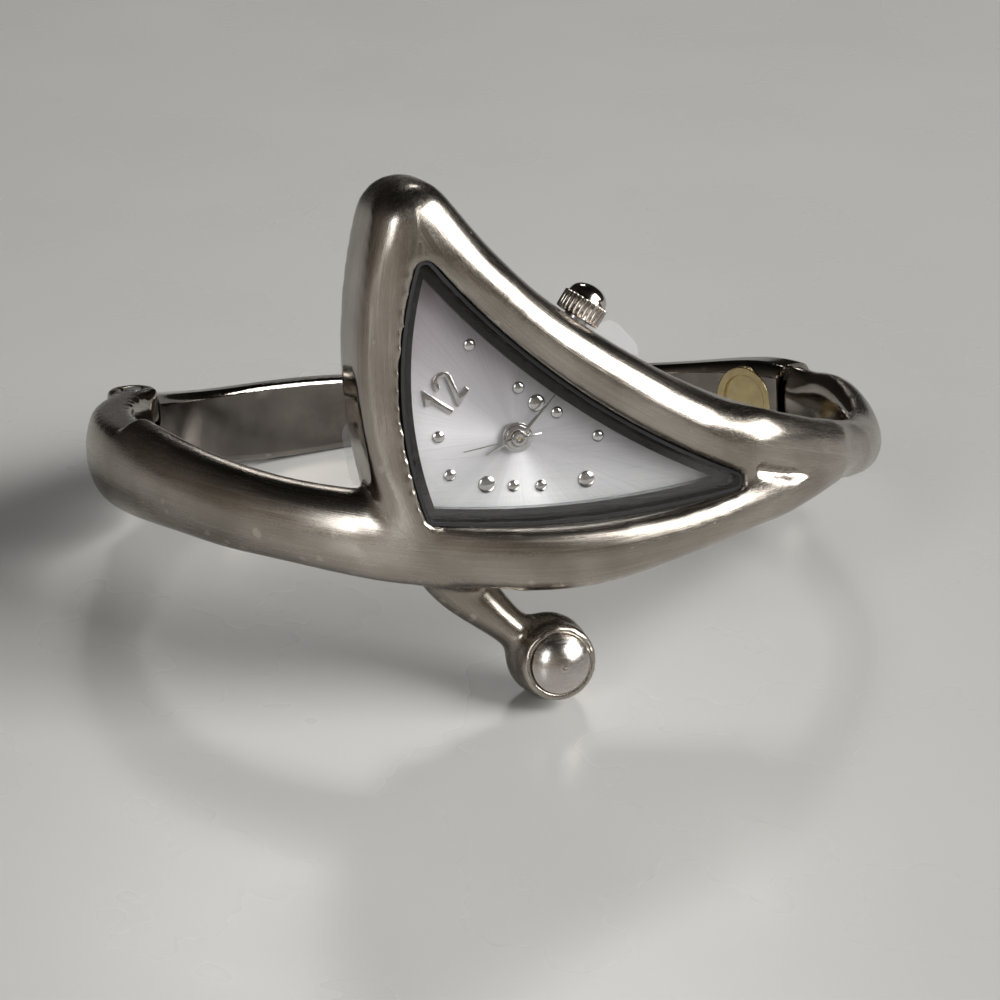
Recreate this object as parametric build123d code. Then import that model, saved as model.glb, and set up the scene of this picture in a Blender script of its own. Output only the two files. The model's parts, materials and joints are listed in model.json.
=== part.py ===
from build123d import *
from math import atan2, cos, degrees, radians, sin, sqrt
import os

# Bangle watch. All sizes are in millimetres.
# The watch is built with the wrist axis upright along Z and the dial facing -Y.
# The last step tips it into the pose in which it lies on a table.

# Band: plan seen along the wrist, and heights along the wrist
half_width = 33.6
front_depth = 29.8
rear_depth = 27.0
band_thickness = 4.3
hinge_end_top = 11.0
tail_height = 5.0
tail_thickness = 3.6
arm_thickness = 4.5
curl_thickness = 4.0

# Sail shaped case
sail_height = 33.3
crest_depth = 28.4
face_drop = 0.9
face_radius = 2.6
face_swell = 0.6
face_bottom_setback = 1.7
outline_steps = 12
case_left_bow = 3.9
peak_radius = 3.5
tip_radius = 2.0
foot_radius = 3.0
opening_left_bow = 1.9
opening_bottom_bow = 1.25
opening_long_bow = 2.3
opening_corner_radius = 0.8

# Crystal, gasket, dial ring and dial
crystal_drop = 0.3
crystal_thickness = 1.0
gasket_width = 0.3
ledge_width = 0.7
ledge_thickness = 0.5
dial_ring_width = 1.15
dial_ring_thickness = 0.9
dial_thickness = 0.4
dial_hole_radius = 0.75
dial_foot_radius = 0.3
dial_foot_length = 0.8
cavity_margin = 0.2
fit = 0.05
slack = 0.02
overrun = 5.0

# Case back
back_thickness = 0.8
back_land = 1.1
back_room = 0.43
back_gasket_inset = 0.3
back_gasket_width = 0.5
back_gasket_thickness = 0.35
back_screw_radius = 0.4
back_screw_head_radius = 0.8
back_screw_head = 0.35
back_screw_length = 2.4
film_thickness = 0.12
film_inset = 0.4
film_tab_width = 4.4
film_tab_length = 5.6
film_tab_radius = 1.3

# Movement. Its own frame has X to 3 o'clock, Y to 12 o'clock and Z to the viewer, from the dial's face
hub_shares = (-0.1577, 0.3574)
stem_angle = 55.0
movement_height_share = 0.455
movement_thickness = 2.95
plate_thickness = 1.0
recess_depth = 0.58
holder_wall = 0.5
train_space = 1.33
bridge_thickness = 0.25
board_thickness = 0.2
level_gap = 0.05
wheel_thickness = 0.15
pinion_height = 0.25
pivot_radius = 0.12
running_clearance = 0.03
tooth_share = 0.8
pillar_radius = 0.6
screw_radius = 0.28
screw_head_radius = 0.52
screw_head = 0.12
screw_length = 1.2
hour_tube_wall = 0.2
rotor_height = 0.4
stator_thickness = 0.4
coil_radius = 0.95
core_thickness = 0.4
battery_thickness = 2.1
oscillator_radius = 0.6
strap_thickness = 0.12
chip_thickness = 0.12
chip_round = 0.05

# Stem, its sliding pinion and the lever that holds it
stem_drop = 1.95
stem_radius = 0.42
clutch_radius = 0.72
clutch_length = 0.8
groove_width = 0.5
groove_depth = 0.17
lever_width = 0.9
lever_thickness = 0.2
lever_pin_radius = 0.13

# Hands and dial marks
hour_hand_level = 0.36
hand_step = 0.24
hand_thickness = 0.12
hand_width = 0.34
second_hand_width = 0.16
hour_boss_radius = 1.2
minute_boss_radius = 1.0
second_boss_radius = 0.6
large_dot_radius = 0.7
small_dot_radius = 0.5
dot_rise = 0.24
numeral_height = 2.5
numeral_stroke = 0.42
numeral_thickness = 0.22

# Crown
crown_radius = 1.9
crown_skirt = 1.7
crown_rise = 1.1
crown_flutes = 24
flute_radius = 0.13
crown_start_share = 0.3108
crown_travel = 0.8
crown_wall = 0.45
tube_radius = 1.0
tube_rise = 1.3
tube_bore = 0.5
crown_gasket_thickness = 0.35
crown_gasket_inset = 0.1
crown_roof_gap = 0.2

# Curled arm, its collar and its stud
bulb_radius = 3.4
collar_radius = 3.1
collar_thickness = 1.8
collar_round = 0.5
stud_radius = 2.35
stud_rise = 1.1

# Hinge at the left
hinge_angle = 150
knuckle_radius = 2.2
knuckle_low = 4.6
knuckle_high = 7.8
knuckle_gap = 0.15
hinge_foot = 1.4
hinge_pin_radius = 0.75
pin_clearance = 0.04
rear_round_share = 0.28

# Catch at the right
catch_thickness = 3.9
catch_angle = 25.5
catch_level = 5.4
cup_radius = 3.0
cup_rim = 0.75
cup_proud = 0.35
cup_seat = 0.25
cup_recess = 0.3
cup_barrel_radius = 1.7
cup_wall = 0.3
slot_inset = 0.85
slot_width = 1.15
button_web = 0.25
button_radius = 1.6
button_rise = 0.6
button_travel = 0.4
button_shank_radius = 0.6
button_foot_radius = 1.15
button_foot = 0.25
spring_wire = 0.18
spring_coils = 3
tongue_height = 3.4
tongue_thickness = 0.35
tongue_step = 0.35
tongue_slit = 1.6

# How the watch lies on a table: front raised by the curled arm, and a small lean
rest_tilt = 12.1
rest_lean = 0.3

# Values worked out from the sizes above
face_depth = crest_depth - face_drop
crystal_depth = face_depth - crystal_drop
dial_depth = crystal_depth - crystal_thickness - ledge_thickness - dial_ring_thickness
movement_top = -dial_thickness - slack
movement_bottom = movement_top - movement_thickness
plate_back = movement_top - plate_thickness
bridge_top = plate_back - train_space
bridge_back = bridge_top - bridge_thickness
recess_floor = movement_top - recess_depth
back_inner = dial_depth + movement_bottom - back_room
case_back_depth = back_inner - back_thickness
minute_hand_level = hour_hand_level + hand_step
second_hand_level = minute_hand_level + hand_step


# Plan of the movement
movement_height = movement_height_share * sail_height
movement_width = 0.858 * movement_height
movement_corner = 0.172 * movement_height
bridge_height = 0.561 * movement_height
train_module = 0.00528 * movement_height
motion_module = 0.0066 * movement_height
cannon_radius = 4.2 * motion_module
hour_tube_radius = cannon_radius + running_clearance + hour_tube_wall
rotor_radius = 0.0594 * movement_height
coil_length = 0.502 * movement_height
battery_radius = 0.1914 * movement_height
oscillator_length = 0.277 * movement_height
strap_width = 0.0924 * movement_height
chip_radius = 0.066 * movement_height
stem_start = 0.244 * movement_height
clutch_start = 0.264 * movement_height
groove_place = 0.353 * movement_height
lever_reach = 0.1056 * movement_height

# Reach of the hands, the crown's tube and the stem from the hands' axis
hour_hand_length = 0.191 * movement_height
minute_hand_length = 0.29 * movement_height
second_hand_length = 0.304 * movement_height
second_tail_length = 0.119 * movement_height
crown_start = crown_start_share * sail_height
tube_start = movement_width / 2 + 2 * holder_wall
tube_end = crown_start + tube_rise
stem_end = crown_start + crown_skirt + crown_gasket_thickness


# Levels in the catch, from the outside of the band inwards
web_level = -slot_inset - slot_width - button_web
foot_level = web_level - fit - button_foot


# Plan of the band

def plan_point(angle, inset=0.0):
    """Point on the outside of the band, moved inwards, and the angle of the outward normal."""
    a = radians(angle)
    depth = front_depth if sin(a) < 0 else rear_depth
    lean = atan2(sin(a) / depth, cos(a) / half_width)
    x = half_width * cos(a) - inset * cos(lean)
    y = depth * sin(a) - inset * sin(lean)
    return x, y, degrees(lean)


def front_lean(x):
    """Angle of the outward normal on the front of the band, at one X."""
    across = x / half_width
    return degrees(atan2(-sqrt(1 - across ** 2) / front_depth, across / half_width))


def direction(lean):
    return Vector(cos(radians(lean)), sin(radians(lean)), 0)


def half_round(plane, width, thickness):
    """Bar section: full outside, flatter inside. The plane's X points outwards."""
    bulge = 0.62 * thickness
    back = thickness - bulge
    middle = thickness / 2 - bulge
    with BuildSketch(plane) as section:
        with BuildLine():
            EllipticalCenterArc((middle, 0), bulge, width / 2, -90, arc_size=180)
            EllipticalCenterArc((middle, 0), back, width / 2, 90, arc_size=180)
        make_face()
    return section.sketch.face()


def bar(stations):
    """Loft through stations of (centre, lean, width, thickness)."""
    sections = []
    last = len(stations) - 1
    for i, (centre, lean, width, thickness) in enumerate(stations):
        tangent = stations[min(i + 1, last)][0] - stations[max(i - 1, 0)][0]
        tangent = tangent.normalized()
        outward = direction(lean)
        outward = (outward - tangent * outward.dot(tangent)).normalized()
        sections.append(half_round(Plane(centre, x_dir=outward, z_dir=tangent), width, thickness))
    return loft(sections)


def band_strip(angles, level, height, inset, thickness, rounding=0.0):
    """Strip that follows the band's plan at one inset."""
    sections = []
    for angle in angles:
        x, y, lean = plan_point(angle, inset + thickness / 2)
        across = Plane((x, y, level), x_dir=direction(lean), z_dir=direction(lean + 90))
        face = RectangleRounded(thickness, height, rounding) if rounding else Rectangle(thickness, height)
        sections.append(across * face)
    return loft(sections)


# Front casting

# Lower band: plan angle, lower and upper edge as shares of hinge_end_top, shares of band_thickness:
# the thickness, and how far it stands out of the plan round the tip of the crystal
lower_band_shares = (
    (150, 0.12, 1.06, 1.00, 0.00),
    (165, 0.22, 1.12, 1.05, 0.00),
    (180, 0.31, 1.12, 1.07, 0.00),
    (193, 0.33, 1.08, 1.05, 0.00),
    (205, 0.32, 1.00, 1.00, 0.00),
    (215, 0.27, 0.91, 1.00, 0.00),
    (225, 0.22, 0.83, 1.00, 0.00),
    (240, 0.10, 0.75, 1.00, 0.00),
    (255, 0.02, 0.64, 1.00, 0.00),
    (270, 0.00, 0.57, 1.00, 0.00),
    (284, 0.13, 0.59, 1.00, 0.02),
    (291, 0.20, 0.65, 1.00, 0.12),
    (298, 0.28, 0.70, 1.00, 0.30),
    (306, 0.35, 0.71, 1.00, 0.29),
    (314, 0.42, 0.68, 0.90, 0.17),
    (321, 0.45, 0.67, 0.72, 0.05),
)
# Upper arm along the band: plan angle, middle as a share of hinge_end_top, share of tail_height,
# and how far it stands out of the plan as a share of tail_thickness
tail_shares = (
    (15, 0.54, 1.20, 0.00),
    (4, 0.54, 1.18, 0.00),
    (-8, 0.52, 1.09, 0.00),
    (-20, 0.48, 0.97, 0.00),
    (-34, 0.55, 0.96, 0.04),
    (-46, 0.655, 1.03, 0.18),
    (-56.5, 0.785, 1.12, 0.33),
    (-65.5, 0.905, 1.12, 0.36),
)
# Upper arm over the sail: X, Z, width and setback from the crest as shares of sail_height
upper_arm_shares = (
    (0.300, 0.336, 0.159, 0.004),
    (0.145, 0.422, 0.158, 0.000),
    (-0.021, 0.535, 0.152, 0.000),
    (-0.161, 0.651, 0.144, 0.002),
    (-0.285, 0.780, 0.138, 0.012),
    (-0.372, 0.893, 0.120, 0.036),
)
# Left arm and its curl: X, Z, width and setback from the crest as shares of sail_height
curl_shares = (
    (-0.445, 0.250, 0.108, 0.125),
    (-0.410, 0.170, 0.122, 0.112),
    (-0.348, 0.090, 0.138, 0.102),
    (-0.272, -0.006, 0.142, 0.102),
    (-0.218, -0.066, 0.108, 0.092),
    (-0.176, -0.106, 0.092, 0.080),
    (-0.132, -0.146, 0.086, 0.072),
    (-0.090, -0.176, 0.088, 0.067),
)
bulb_shares = (-0.088, 0.025, -0.180)
# Corners of the case before they are rounded, then points of its long side, as shares of sail_height
case_corner_shares = ((-0.417, 1.081), (-0.420, 0.018), (0.105, 0.039), (0.529, 0.126), (0.605, 0.312))
long_side_shares = ((0.336, 0.408), (0.186, 0.492), (0.027, 0.598), (-0.114, 0.710), (-0.249, 0.863))
# Part of the face that lies behind the lower band
face_bottom_shares = ((-0.70, 0.29), (-0.50, 0.205), (-0.37, 0.150), (0.42, 0.135), (0.70, 0.20), (0.70, -0.2), (-0.70, -0.2))
# Corners of the crystal opening: peak, lower left and right tip
opening_corner_shares = ((-0.387, 0.822), (-0.394, 0.182), (0.440, 0.204))
# Screws of the case back
back_screw_shares = ((-0.396, 0.883), (-0.372, 0.105), (0.477, 0.222))
# Tabs of the film: X, Z as shares of sail_height
film_tab_shares = ((-0.462, 0.325), (0.110, 0.492))
film_tab_turns = (8, -48)


def upright(depth):
    """Drawing plane of the case: X right, Y up the wrist axis, facing the viewer."""
    return Plane((0, -depth, 0), x_dir=(1, 0, 0), z_dir=(0, -1, 0))


def slab(face, front, back):
    """Extrude a drawn face between two depths."""
    return extrude(upright(front) * face, -(front - back))


def sail_points(shares):
    return [(x * sail_height, z * sail_height) for x, z in shares]


def case_outline(margin=0.0):
    peak, corner, keel, foot, tip = sail_points(case_corner_shares)
    edges = (SagittaArc(peak, corner, -case_left_bow)
             + Line(corner, keel)
             + Line(keel, foot)
             + Line(foot, tip)
             + Spline(tip, *sail_points(long_side_shares), peak))
    face = make_face(edges)
    corners = face.vertices().sort_by(Axis.Y)
    face = fillet(corners[-1], peak_radius)
    face = fillet(face.vertices().sort_by(Axis.X)[-1], tip_radius)
    face = fillet(face.vertices().sort_by(Axis.Y)[:3], foot_radius)
    return moved_outline(face, margin) if margin else face


def moved_outline(face, margin):
    """Outline moved outwards, with its free curves drawn again as splines."""
    edges = []
    for edge in offset(face, margin).edges():
        if edge.geom_type == GeomType.OFFSET:
            points = [edge @ (i / outline_steps) for i in range(outline_steps + 1)]
            edge = Spline(*points, tangents=(edge % 0, edge % 1))
        edges.append(edge)
    return make_face(edges)


def opening_outline(margin=0.0):
    peak, corner, tip = sail_points(opening_corner_shares)
    edges = (SagittaArc(peak, corner, -opening_left_bow)
             + SagittaArc(corner, tip, -opening_bottom_bow)
             + SagittaArc(tip, peak, opening_long_bow))
    face = make_face(edges)
    face = fillet(face.vertices(), opening_corner_radius)
    return offset(face, margin) if margin else face


def movement_outline(margin=0.0):
    body = RectangleRounded(movement_width + 2 * margin, movement_height + 2 * margin,
                            movement_corner + margin)
    return Pos(*sail_points([hub_shares])[0]) * Rot(0, 0, stem_angle) * body


def cavity_outline(margin=0.0):
    return opening_outline(cavity_margin + margin) + movement_outline(holder_wall + margin)


def lower_band():
    stations = []
    for angle, low, high, thick, swell in lower_band_shares:
        thickness = thick * band_thickness
        x, y, lean = plan_point(angle, thickness / 2 - swell * band_thickness)
        centre = Vector(x, y, (low + high) / 2 * hinge_end_top)
        stations.append((centre, lean, (high - low) * hinge_end_top, thickness))
    return bar(stations)


def upper_arm():
    stations = []
    for angle, middle, height, swell in tail_shares:
        x, y, lean = plan_point(angle, tail_thickness / 2 - swell * tail_thickness)
        stations.append((Vector(x, y, middle * hinge_end_top), lean, height * tail_height, tail_thickness))
    for x, z, width, setback in upper_arm_shares:
        y = arm_thickness / 2 - crest_depth + setback * sail_height
        centre = Vector(x * sail_height, y, z * sail_height)
        lean = max(front_lean(x * sail_height), -90)
        stations.append((centre, lean, width * sail_height, arm_thickness))
    return bar(stations)


def curled_arm():
    stations = []
    for x, z, width, setback in curl_shares:
        y = curl_thickness / 2 - crest_depth + setback * sail_height
        centre = Vector(x * sail_height, y, z * sail_height)
        stations.append((centre, -90, width * sail_height, curl_thickness))
    return bar(stations)


def collar_face():
    """Front face of the collar at the end of the curl, looking at the viewer."""
    x, setback, z = bulb_shares
    centre = (x * sail_height, setback * sail_height - crest_depth, z * sail_height)
    return Plane(centre, x_dir=(1, 0, 0), z_dir=(0, -1, 0))


def disc(radius, low, high):
    """Cylinder on the axis of a plane, between two levels."""
    return Pos(0, 0, low) * Cylinder(radius, high - low, align=(Align.CENTER, Align.CENTER, Align.MIN))


def dome(radius, rise, level=0.0):
    """Cap of a sphere, standing on a level."""
    sphere_radius = (radius ** 2 + rise ** 2) / (2 * rise)
    return (Pos(0, 0, level + rise - sphere_radius) * Sphere(sphere_radius)) & disc(radius, level, level + rise)


def bulb():
    ball = Pos(0, 0, -bulb_radius) * Sphere(bulb_radius)
    collar = disc(collar_radius, -collar_thickness, 0)
    collar = fillet(collar.edges().filter_by(GeomType.CIRCLE), collar_round)
    seat = disc(stud_radius + slack, -collar_thickness / 2, overrun)
    return collar_face() * (ball + collar - seat)


def end_stud():
    shank = disc(stud_radius, slack - collar_thickness / 2, 0)
    return collar_face() * (shank + dome(stud_radius, stud_rise))


def hinge_axis():
    x, y, lean = plan_point(hinge_angle, band_thickness / 2)
    return Pos(x, y, 0)


def plan_column(inset):
    """Upright column inside the band's plan."""
    oval = extrude(Ellipse(half_width - inset, front_depth - inset), 3 * sail_height)
    return Pos(0, 0, -sail_height) * oval


def sail_case():
    """Case with a rounded face that follows the band's curve and drops behind the lower band."""
    body = slab(case_outline(), face_depth, case_back_depth)
    body = fillet(body.edges().group_by(Axis.Y)[0], face_radius)
    body = body & plan_column(-face_swell)
    bottom = slab(make_face(Polyline(*sail_points(face_bottom_shares), close=True)), crest_depth, 0)
    return body - (bottom - plan_column(face_bottom_setback))


def front_casting():
    body = sail_case() + upper_arm()
    body = body + lower_band() + hinge_axis() * disc(knuckle_radius, hinge_foot, hinge_end_top)
    body = body + curled_arm() + bulb()
    body = body - slab(opening_outline(), crest_depth + overrun, crystal_depth - crystal_thickness)
    body = body - slab(opening_outline(-ledge_width), crest_depth, crest_depth - overrun)
    ledge_back = crystal_depth - crystal_thickness - ledge_thickness
    body = body - slab(cavity_outline(), ledge_back, case_back_depth - overrun)
    body = body - slab(case_outline(-back_land + fit), back_inner, case_back_depth - overrun)
    body = body - back_gasket(0)
    body = body - back_screw_holes()
    stem_bore = disc(tube_radius + slack, 0, crown_start + overrun)
    body = body - stem_axis() * stem_bore
    flat_top = hinge_axis() * Pos(0, 0, hinge_end_top) * Box(
        half_width, half_width, overrun, align=(Align.CENTER, Align.CENTER, Align.MIN))
    body = body - flat_top
    body = body - hinge_axis() * disc(knuckle_radius + knuckle_gap, knuckle_low - knuckle_gap,
                                      knuckle_high + knuckle_gap)
    body = body - hinge_axis() * disc(hinge_pin_radius + slack, -overrun, hinge_end_top + overrun)
    return body - catch_strip(slack, tongue_root_angle, tongue_tip_angle)


# Crystal, dial and case back

def crystal():
    return slab(opening_outline(-gasket_width - slack), crystal_depth, crystal_depth - crystal_thickness + slack)


def crystal_gasket():
    ring = opening_outline(-slack) - opening_outline(-gasket_width)
    return slab(ring, crystal_depth, crystal_depth - crystal_thickness + slack)


def dial_ring():
    ring = opening_outline(cavity_margin - fit) - opening_outline(-dial_ring_width)
    return slab(ring, dial_depth + dial_ring_thickness - slack, dial_depth + slack)


# Feet of the dial in the movement's frame, as shares of the movement's height
dial_foot_shares = ((0.30, -0.38), (-0.30, 0.36))


def dial():
    plate = slab(opening_outline(cavity_margin - fit), dial_depth, dial_depth - dial_thickness)
    plate = plate - in_movement(disc(dial_hole_radius, -overrun, overrun))
    for x, y in dial_foot_shares:
        foot = disc(dial_foot_radius, -dial_thickness - dial_foot_length, -dial_thickness)
        plate = plate + in_movement(Pos(x * movement_height, y * movement_height) * foot)
    return plate


# Distance of each hour's mark from the hands' axis, as a share of sail_height
mark_reach_shares = {1: 0.249, 2: 0.115, 3: 0.091, 4: 0.112, 5: 0.201, 6: 0.206,
                     7: 0.135, 8: 0.117, 9: 0.130, 10: 0.180, 11: 0.188, 12: 0.205}


def mark_place(hour):
    angle = radians(90 - 30 * hour)
    reach = mark_reach_shares[hour] * sail_height
    return Pos(reach * cos(angle), reach * sin(angle), 0)


def hour_dots():
    dots = []
    for hour in range(1, 12):
        radius = large_dot_radius if hour % 3 == 0 else small_dot_radius
        dots.append(in_movement(mark_place(hour) * dome(radius, dot_rise, slack)))
    return Compound(dots)


def numeral_12():
    """Plain raised 1 and 2, drawn with strokes."""
    half = numeral_height / 2
    one_x = -0.36 * numeral_height
    two_x = 0.26 * numeral_height
    bowl = 0.25 * numeral_height
    one = Polyline((one_x - bowl, half - bowl), (one_x, half), (one_x, -half))
    arc = ThreePointArc((two_x - bowl, half - bowl), (two_x, half), (two_x + bowl, half - bowl))
    rest = Polyline((two_x + bowl, half - bowl), (two_x - bowl, -half), (two_x + bowl, -half))
    digits = [trace(one, numeral_stroke), trace(arc, numeral_stroke) + trace(rest, numeral_stroke)]
    raised = [mark_place(12) * Pos(0, 0, slack) * extrude(digit, numeral_thickness) for digit in digits]
    return Compound([in_movement(digit) for digit in raised])


def movement_holder():
    block = slab(cavity_outline(-fit), dial_depth + movement_top, back_inner + back_gasket_thickness + slack)
    block = block - slab(movement_outline(fit), crest_depth, 0)
    return block - stem_axis() * disc(tube_bore + fit, 0, crown_start)


def case_back():
    plate = slab(case_outline(-back_land), back_inner, case_back_depth)
    for place in back_screw_places():
        plate = plate - place * disc(back_screw_radius + fit, -overrun, overrun)
        plate = plate - place * disc(back_screw_head_radius + fit, -back_screw_head - slack, overrun)
    return plate


def back_gasket(gap):
    ring = (case_outline(-back_land - back_gasket_inset - gap)
            - case_outline(-back_land - back_gasket_inset - back_gasket_width + gap))
    return slab(ring, back_inner + back_gasket_thickness - gap, back_inner + gap)


def back_screw_places():
    """Frames on the wrist side of the case back, with Z out of it."""
    places = []
    for x, z in sail_points(back_screw_shares):
        places.append(Plane((x, -case_back_depth, z), x_dir=(1, 0, 0), z_dir=(0, 1, 0)))
    return places


def back_screw_holes():
    holes = [place * disc(back_screw_radius + slack, -back_screw_length - fit, overrun)
             for place in back_screw_places()]
    return Compound(holes)


def back_screws():
    screws = []
    for place in back_screw_places():
        head = disc(back_screw_head_radius, -back_screw_head, -slack)
        slot = Pos(0, 0, -slack) * Box(2 * back_screw_head_radius, back_screw_radius / 2, back_screw_head)
        screws.append(place * (head + disc(back_screw_radius, -back_screw_length, -back_screw_head) - slot))
    return Compound(screws)


def back_film():
    """Thin sheet on the case back, with two tabs that reach past the case."""
    sheet = case_outline(-film_inset)
    for (x, z), turn in zip(sail_points(film_tab_shares), film_tab_turns):
        tab = RectangleRounded(film_tab_width, film_tab_length, film_tab_radius)
        sheet = sheet + Pos(x, z) * Rot(0, 0, turn) * tab
    sheet = slab(sheet, case_back_depth - slack, case_back_depth - film_thickness)
    return sheet - lower_band() - upper_arm()


# Movement

def in_movement(shape):
    x, z = sail_points([hub_shares])[0]
    frame = Plane((x, -dial_depth, z), z_dir=(0, -1, 0),
                  x_dir=(cos(radians(stem_angle)), 0, sin(radians(stem_angle))))
    return frame * shape


def stem_axis():
    """Frame on the stem, with Z out to the crown."""
    turn = radians(stem_angle)
    x, z = sail_points([hub_shares])[0]
    return Plane((x, stem_drop - dial_depth, z), x_dir=(0, 1, 0), z_dir=(cos(turn), 0, sin(turn)))


def gear(teeth, module, thickness, toward, gap):
    """Toothed disc. A tooth, or a gap, points toward the wheel that it meshes with."""
    pitch = module * teeth / 2
    tip = pitch + tooth_share * module
    root = pitch - tooth_share * module
    start = toward + (180 / teeth if gap else 0)
    points = []
    for i in range(teeth):
        for share, radius in ((-0.30, root), (-0.14, tip), (0.14, tip), (0.30, root)):
            angle = radians(start + 360 * (i + share) / teeth)
            points.append((radius * cos(angle), radius * sin(angle)))
    return extrude(make_face(Polyline(*points, close=True)), thickness)


def polar(reach, angle):
    return (reach * cos(radians(angle)), reach * sin(radians(angle)))


# Teeth of the going train: rotor 10 to step wheel 60, its pinion 12 to second wheel 60,
# its pinion 8 to third wheel 60, its pinion 8 to centre wheel 64
step_pinion_teeth = 12
second_wheel_teeth = 60
rotor_pinion_teeth = 10
step_wheel_teeth = 60
second_pinion_teeth = 8
third_wheel_teeth = 60
third_pinion_teeth = 8
centre_wheel_teeth = 64
# Teeth of the motion work: cannon pinion 10 to minute wheel 30, its pinion 10 to hour wheel 40
cannon_teeth = 10
minute_wheel_teeth = 30
minute_pinion_teeth = 10
hour_wheel_teeth = 40
setting_wheel_teeth = 16

step_angle = 160
rotor_angle = 80
third_angle = -50
minute_wheel_angle = 24
setting_angle = -24

step_reach = train_module * (step_pinion_teeth + second_wheel_teeth) / 2
rotor_reach = train_module * (rotor_pinion_teeth + step_wheel_teeth) / 2
third_reach = train_module * (second_pinion_teeth + third_wheel_teeth) / 2
centre_module = 2 * third_reach / (third_pinion_teeth + centre_wheel_teeth)
minute_reach = motion_module * (cannon_teeth + minute_wheel_teeth) / 2
hour_module = 2 * minute_reach / (minute_pinion_teeth + hour_wheel_teeth)
setting_reach = motion_module * (minute_wheel_teeth + setting_wheel_teeth) / 2

step_place = Vector(*polar(step_reach, step_angle))
rotor_place = step_place + Vector(*polar(rotor_reach, rotor_angle))
third_place = Vector(*polar(third_reach, third_angle))
minute_place = Vector(*polar(minute_reach, minute_wheel_angle))
setting_place = minute_place + Vector(*polar(setting_reach, setting_angle))

# Levels of the wheels, from the plate towards the bridge
centre_level = plate_back - 2 * level_gap - wheel_thickness
step_level = centre_level - wheel_thickness - 4 * level_gap
third_level = step_level - level_gap - wheel_thickness
second_level = third_level - 2 * level_gap - wheel_thickness
cannon_level = recess_floor + level_gap
hour_wheel_level = cannon_level + pinion_height + level_gap
stator_level = step_level - 3 * level_gap - stator_thickness
coil_level = stator_level + stator_thickness + core_thickness / 2
battery_top = recess_floor + level_gap
screw_seat = bridge_back - slack - board_thickness

battery_shares = (-0.211, -0.297)
pillar_shares = ((0.356, 0.218), (0.343, -0.224), (-0.380, -0.059), (0.040, -0.449))
oscillator_shares = (0.244, -0.390)
coil_shares = (-0.053, 0.419)
stator_shares = (-0.370, 0.264, 0.182, 0.347)
chip_shares = (0.20, 0.40)


def plate_point(shares):
    """Place on the movement, from shares of its height."""
    return Pos(shares[0] * movement_height, shares[1] * movement_height, 0)


def plate_face(margin=0.0):
    return RectangleRounded(movement_width + 2 * margin, movement_height + 2 * margin, movement_corner + margin)


def stem_solid(radius, start, end):
    """Cylinder along the stem, in the movement's frame."""
    return Plane((0, 0, -stem_drop), x_dir=(0, 1, 0), z_dir=(1, 0, 0)) * disc(radius, start, end)


def main_plate():
    plate = Pos(0, 0, plate_back) * extrude(plate_face(), plate_thickness)
    for shares in pillar_shares:
        plate = plate + plate_point(shares) * disc(pillar_radius, bridge_top, plate_back)
        plate = plate - plate_point(shares) * disc(screw_radius + slack, bridge_top - overrun, bridge_top + screw_length)
    plate = plate - disc(cannon_radius + running_clearance, -overrun, overrun)
    wheels = ((Vector(0, 0), hour_module * hour_wheel_teeth / 2),
              (minute_place, motion_module * minute_wheel_teeth / 2),
              (setting_place, motion_module * setting_wheel_teeth / 2))
    for place, radius in wheels:
        plate = plate - Pos(place) * disc(radius + 2 * motion_module, recess_floor, overrun)
    for place in (minute_place, setting_place):
        plate = plate + Pos(place) * disc(pivot_radius, recess_floor - slack, movement_top - level_gap)
    for place in (step_place, rotor_place, third_place):
        plate = plate - Pos(place) * disc(pivot_radius + running_clearance, plate_back, plate_back + 2 * pivot_radius)
    for shares in dial_foot_shares:
        plate = plate - plate_point(shares) * disc(dial_foot_radius + slack, plate_back - overrun, overrun)
    pocket = disc(battery_radius + fit, -overrun, battery_top + slack)
    plate = plate - plate_point(battery_shares) * pocket
    pocket = Pos(0, 0, coil_level) * Rot(0, 90, 0) * Cylinder(coil_radius + fit, coil_length + 2 * fit)
    plate = plate - plate_point(coil_shares) * pocket
    return in_movement(plate - stem_solid(clutch_radius + fit, clutch_start - fit, clutch_start + clutch_length + fit))


def train_bridge():
    bridge = Pos(0, 0, bridge_back) * extrude(bridge_face(), bridge_thickness)
    for place in (Vector(0, 0), step_place, rotor_place, third_place):
        bridge = bridge - Pos(place) * disc(pivot_radius + running_clearance, -overrun, 0)
    for shares in pillar_shares:
        bridge = bridge - plate_point(shares) * disc(screw_radius + fit, -overrun, 0)
    return in_movement(bridge)


def bridge_face():
    face = RectangleRounded(movement_width - 4 * fit, bridge_height, movement_corner / 2)
    return face - plate_point(battery_shares) * Circle(battery_radius + 2 * fit)


def wheel_with_pinion(wheel, wheel_level, wheel_side, pinion, pinion_level, pinion_side):
    """Wheel and pinion on one arbor between plate and bridge. Each is (teeth, module)."""
    body = Pos(0, 0, wheel_level) * gear(*wheel, wheel_thickness, wheel_side, False)
    body = body + Pos(0, 0, pinion_level) * gear(*pinion, pinion_height, pinion_side, True)
    return body + disc(pivot_radius, bridge_back, plate_back + pivot_radius)


def second_wheel():
    body = wheel_with_pinion((second_wheel_teeth, train_module), second_level, step_angle,
                             (second_pinion_teeth, train_module), third_level - level_gap, third_angle)
    return in_movement(body + disc(pivot_radius, plate_back, second_hand_level + hand_thickness))


def step_wheel():
    body = wheel_with_pinion((step_wheel_teeth, train_module), step_level, rotor_angle,
                             (step_pinion_teeth, train_module), second_level - level_gap, step_angle + 180)
    return in_movement(Pos(step_place) * body)


def third_wheel():
    body = wheel_with_pinion((third_wheel_teeth, train_module), third_level, third_angle + 180,
                             (third_pinion_teeth, centre_module), centre_level - level_gap, third_angle + 180)
    return in_movement(Pos(third_place) * body)


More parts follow.
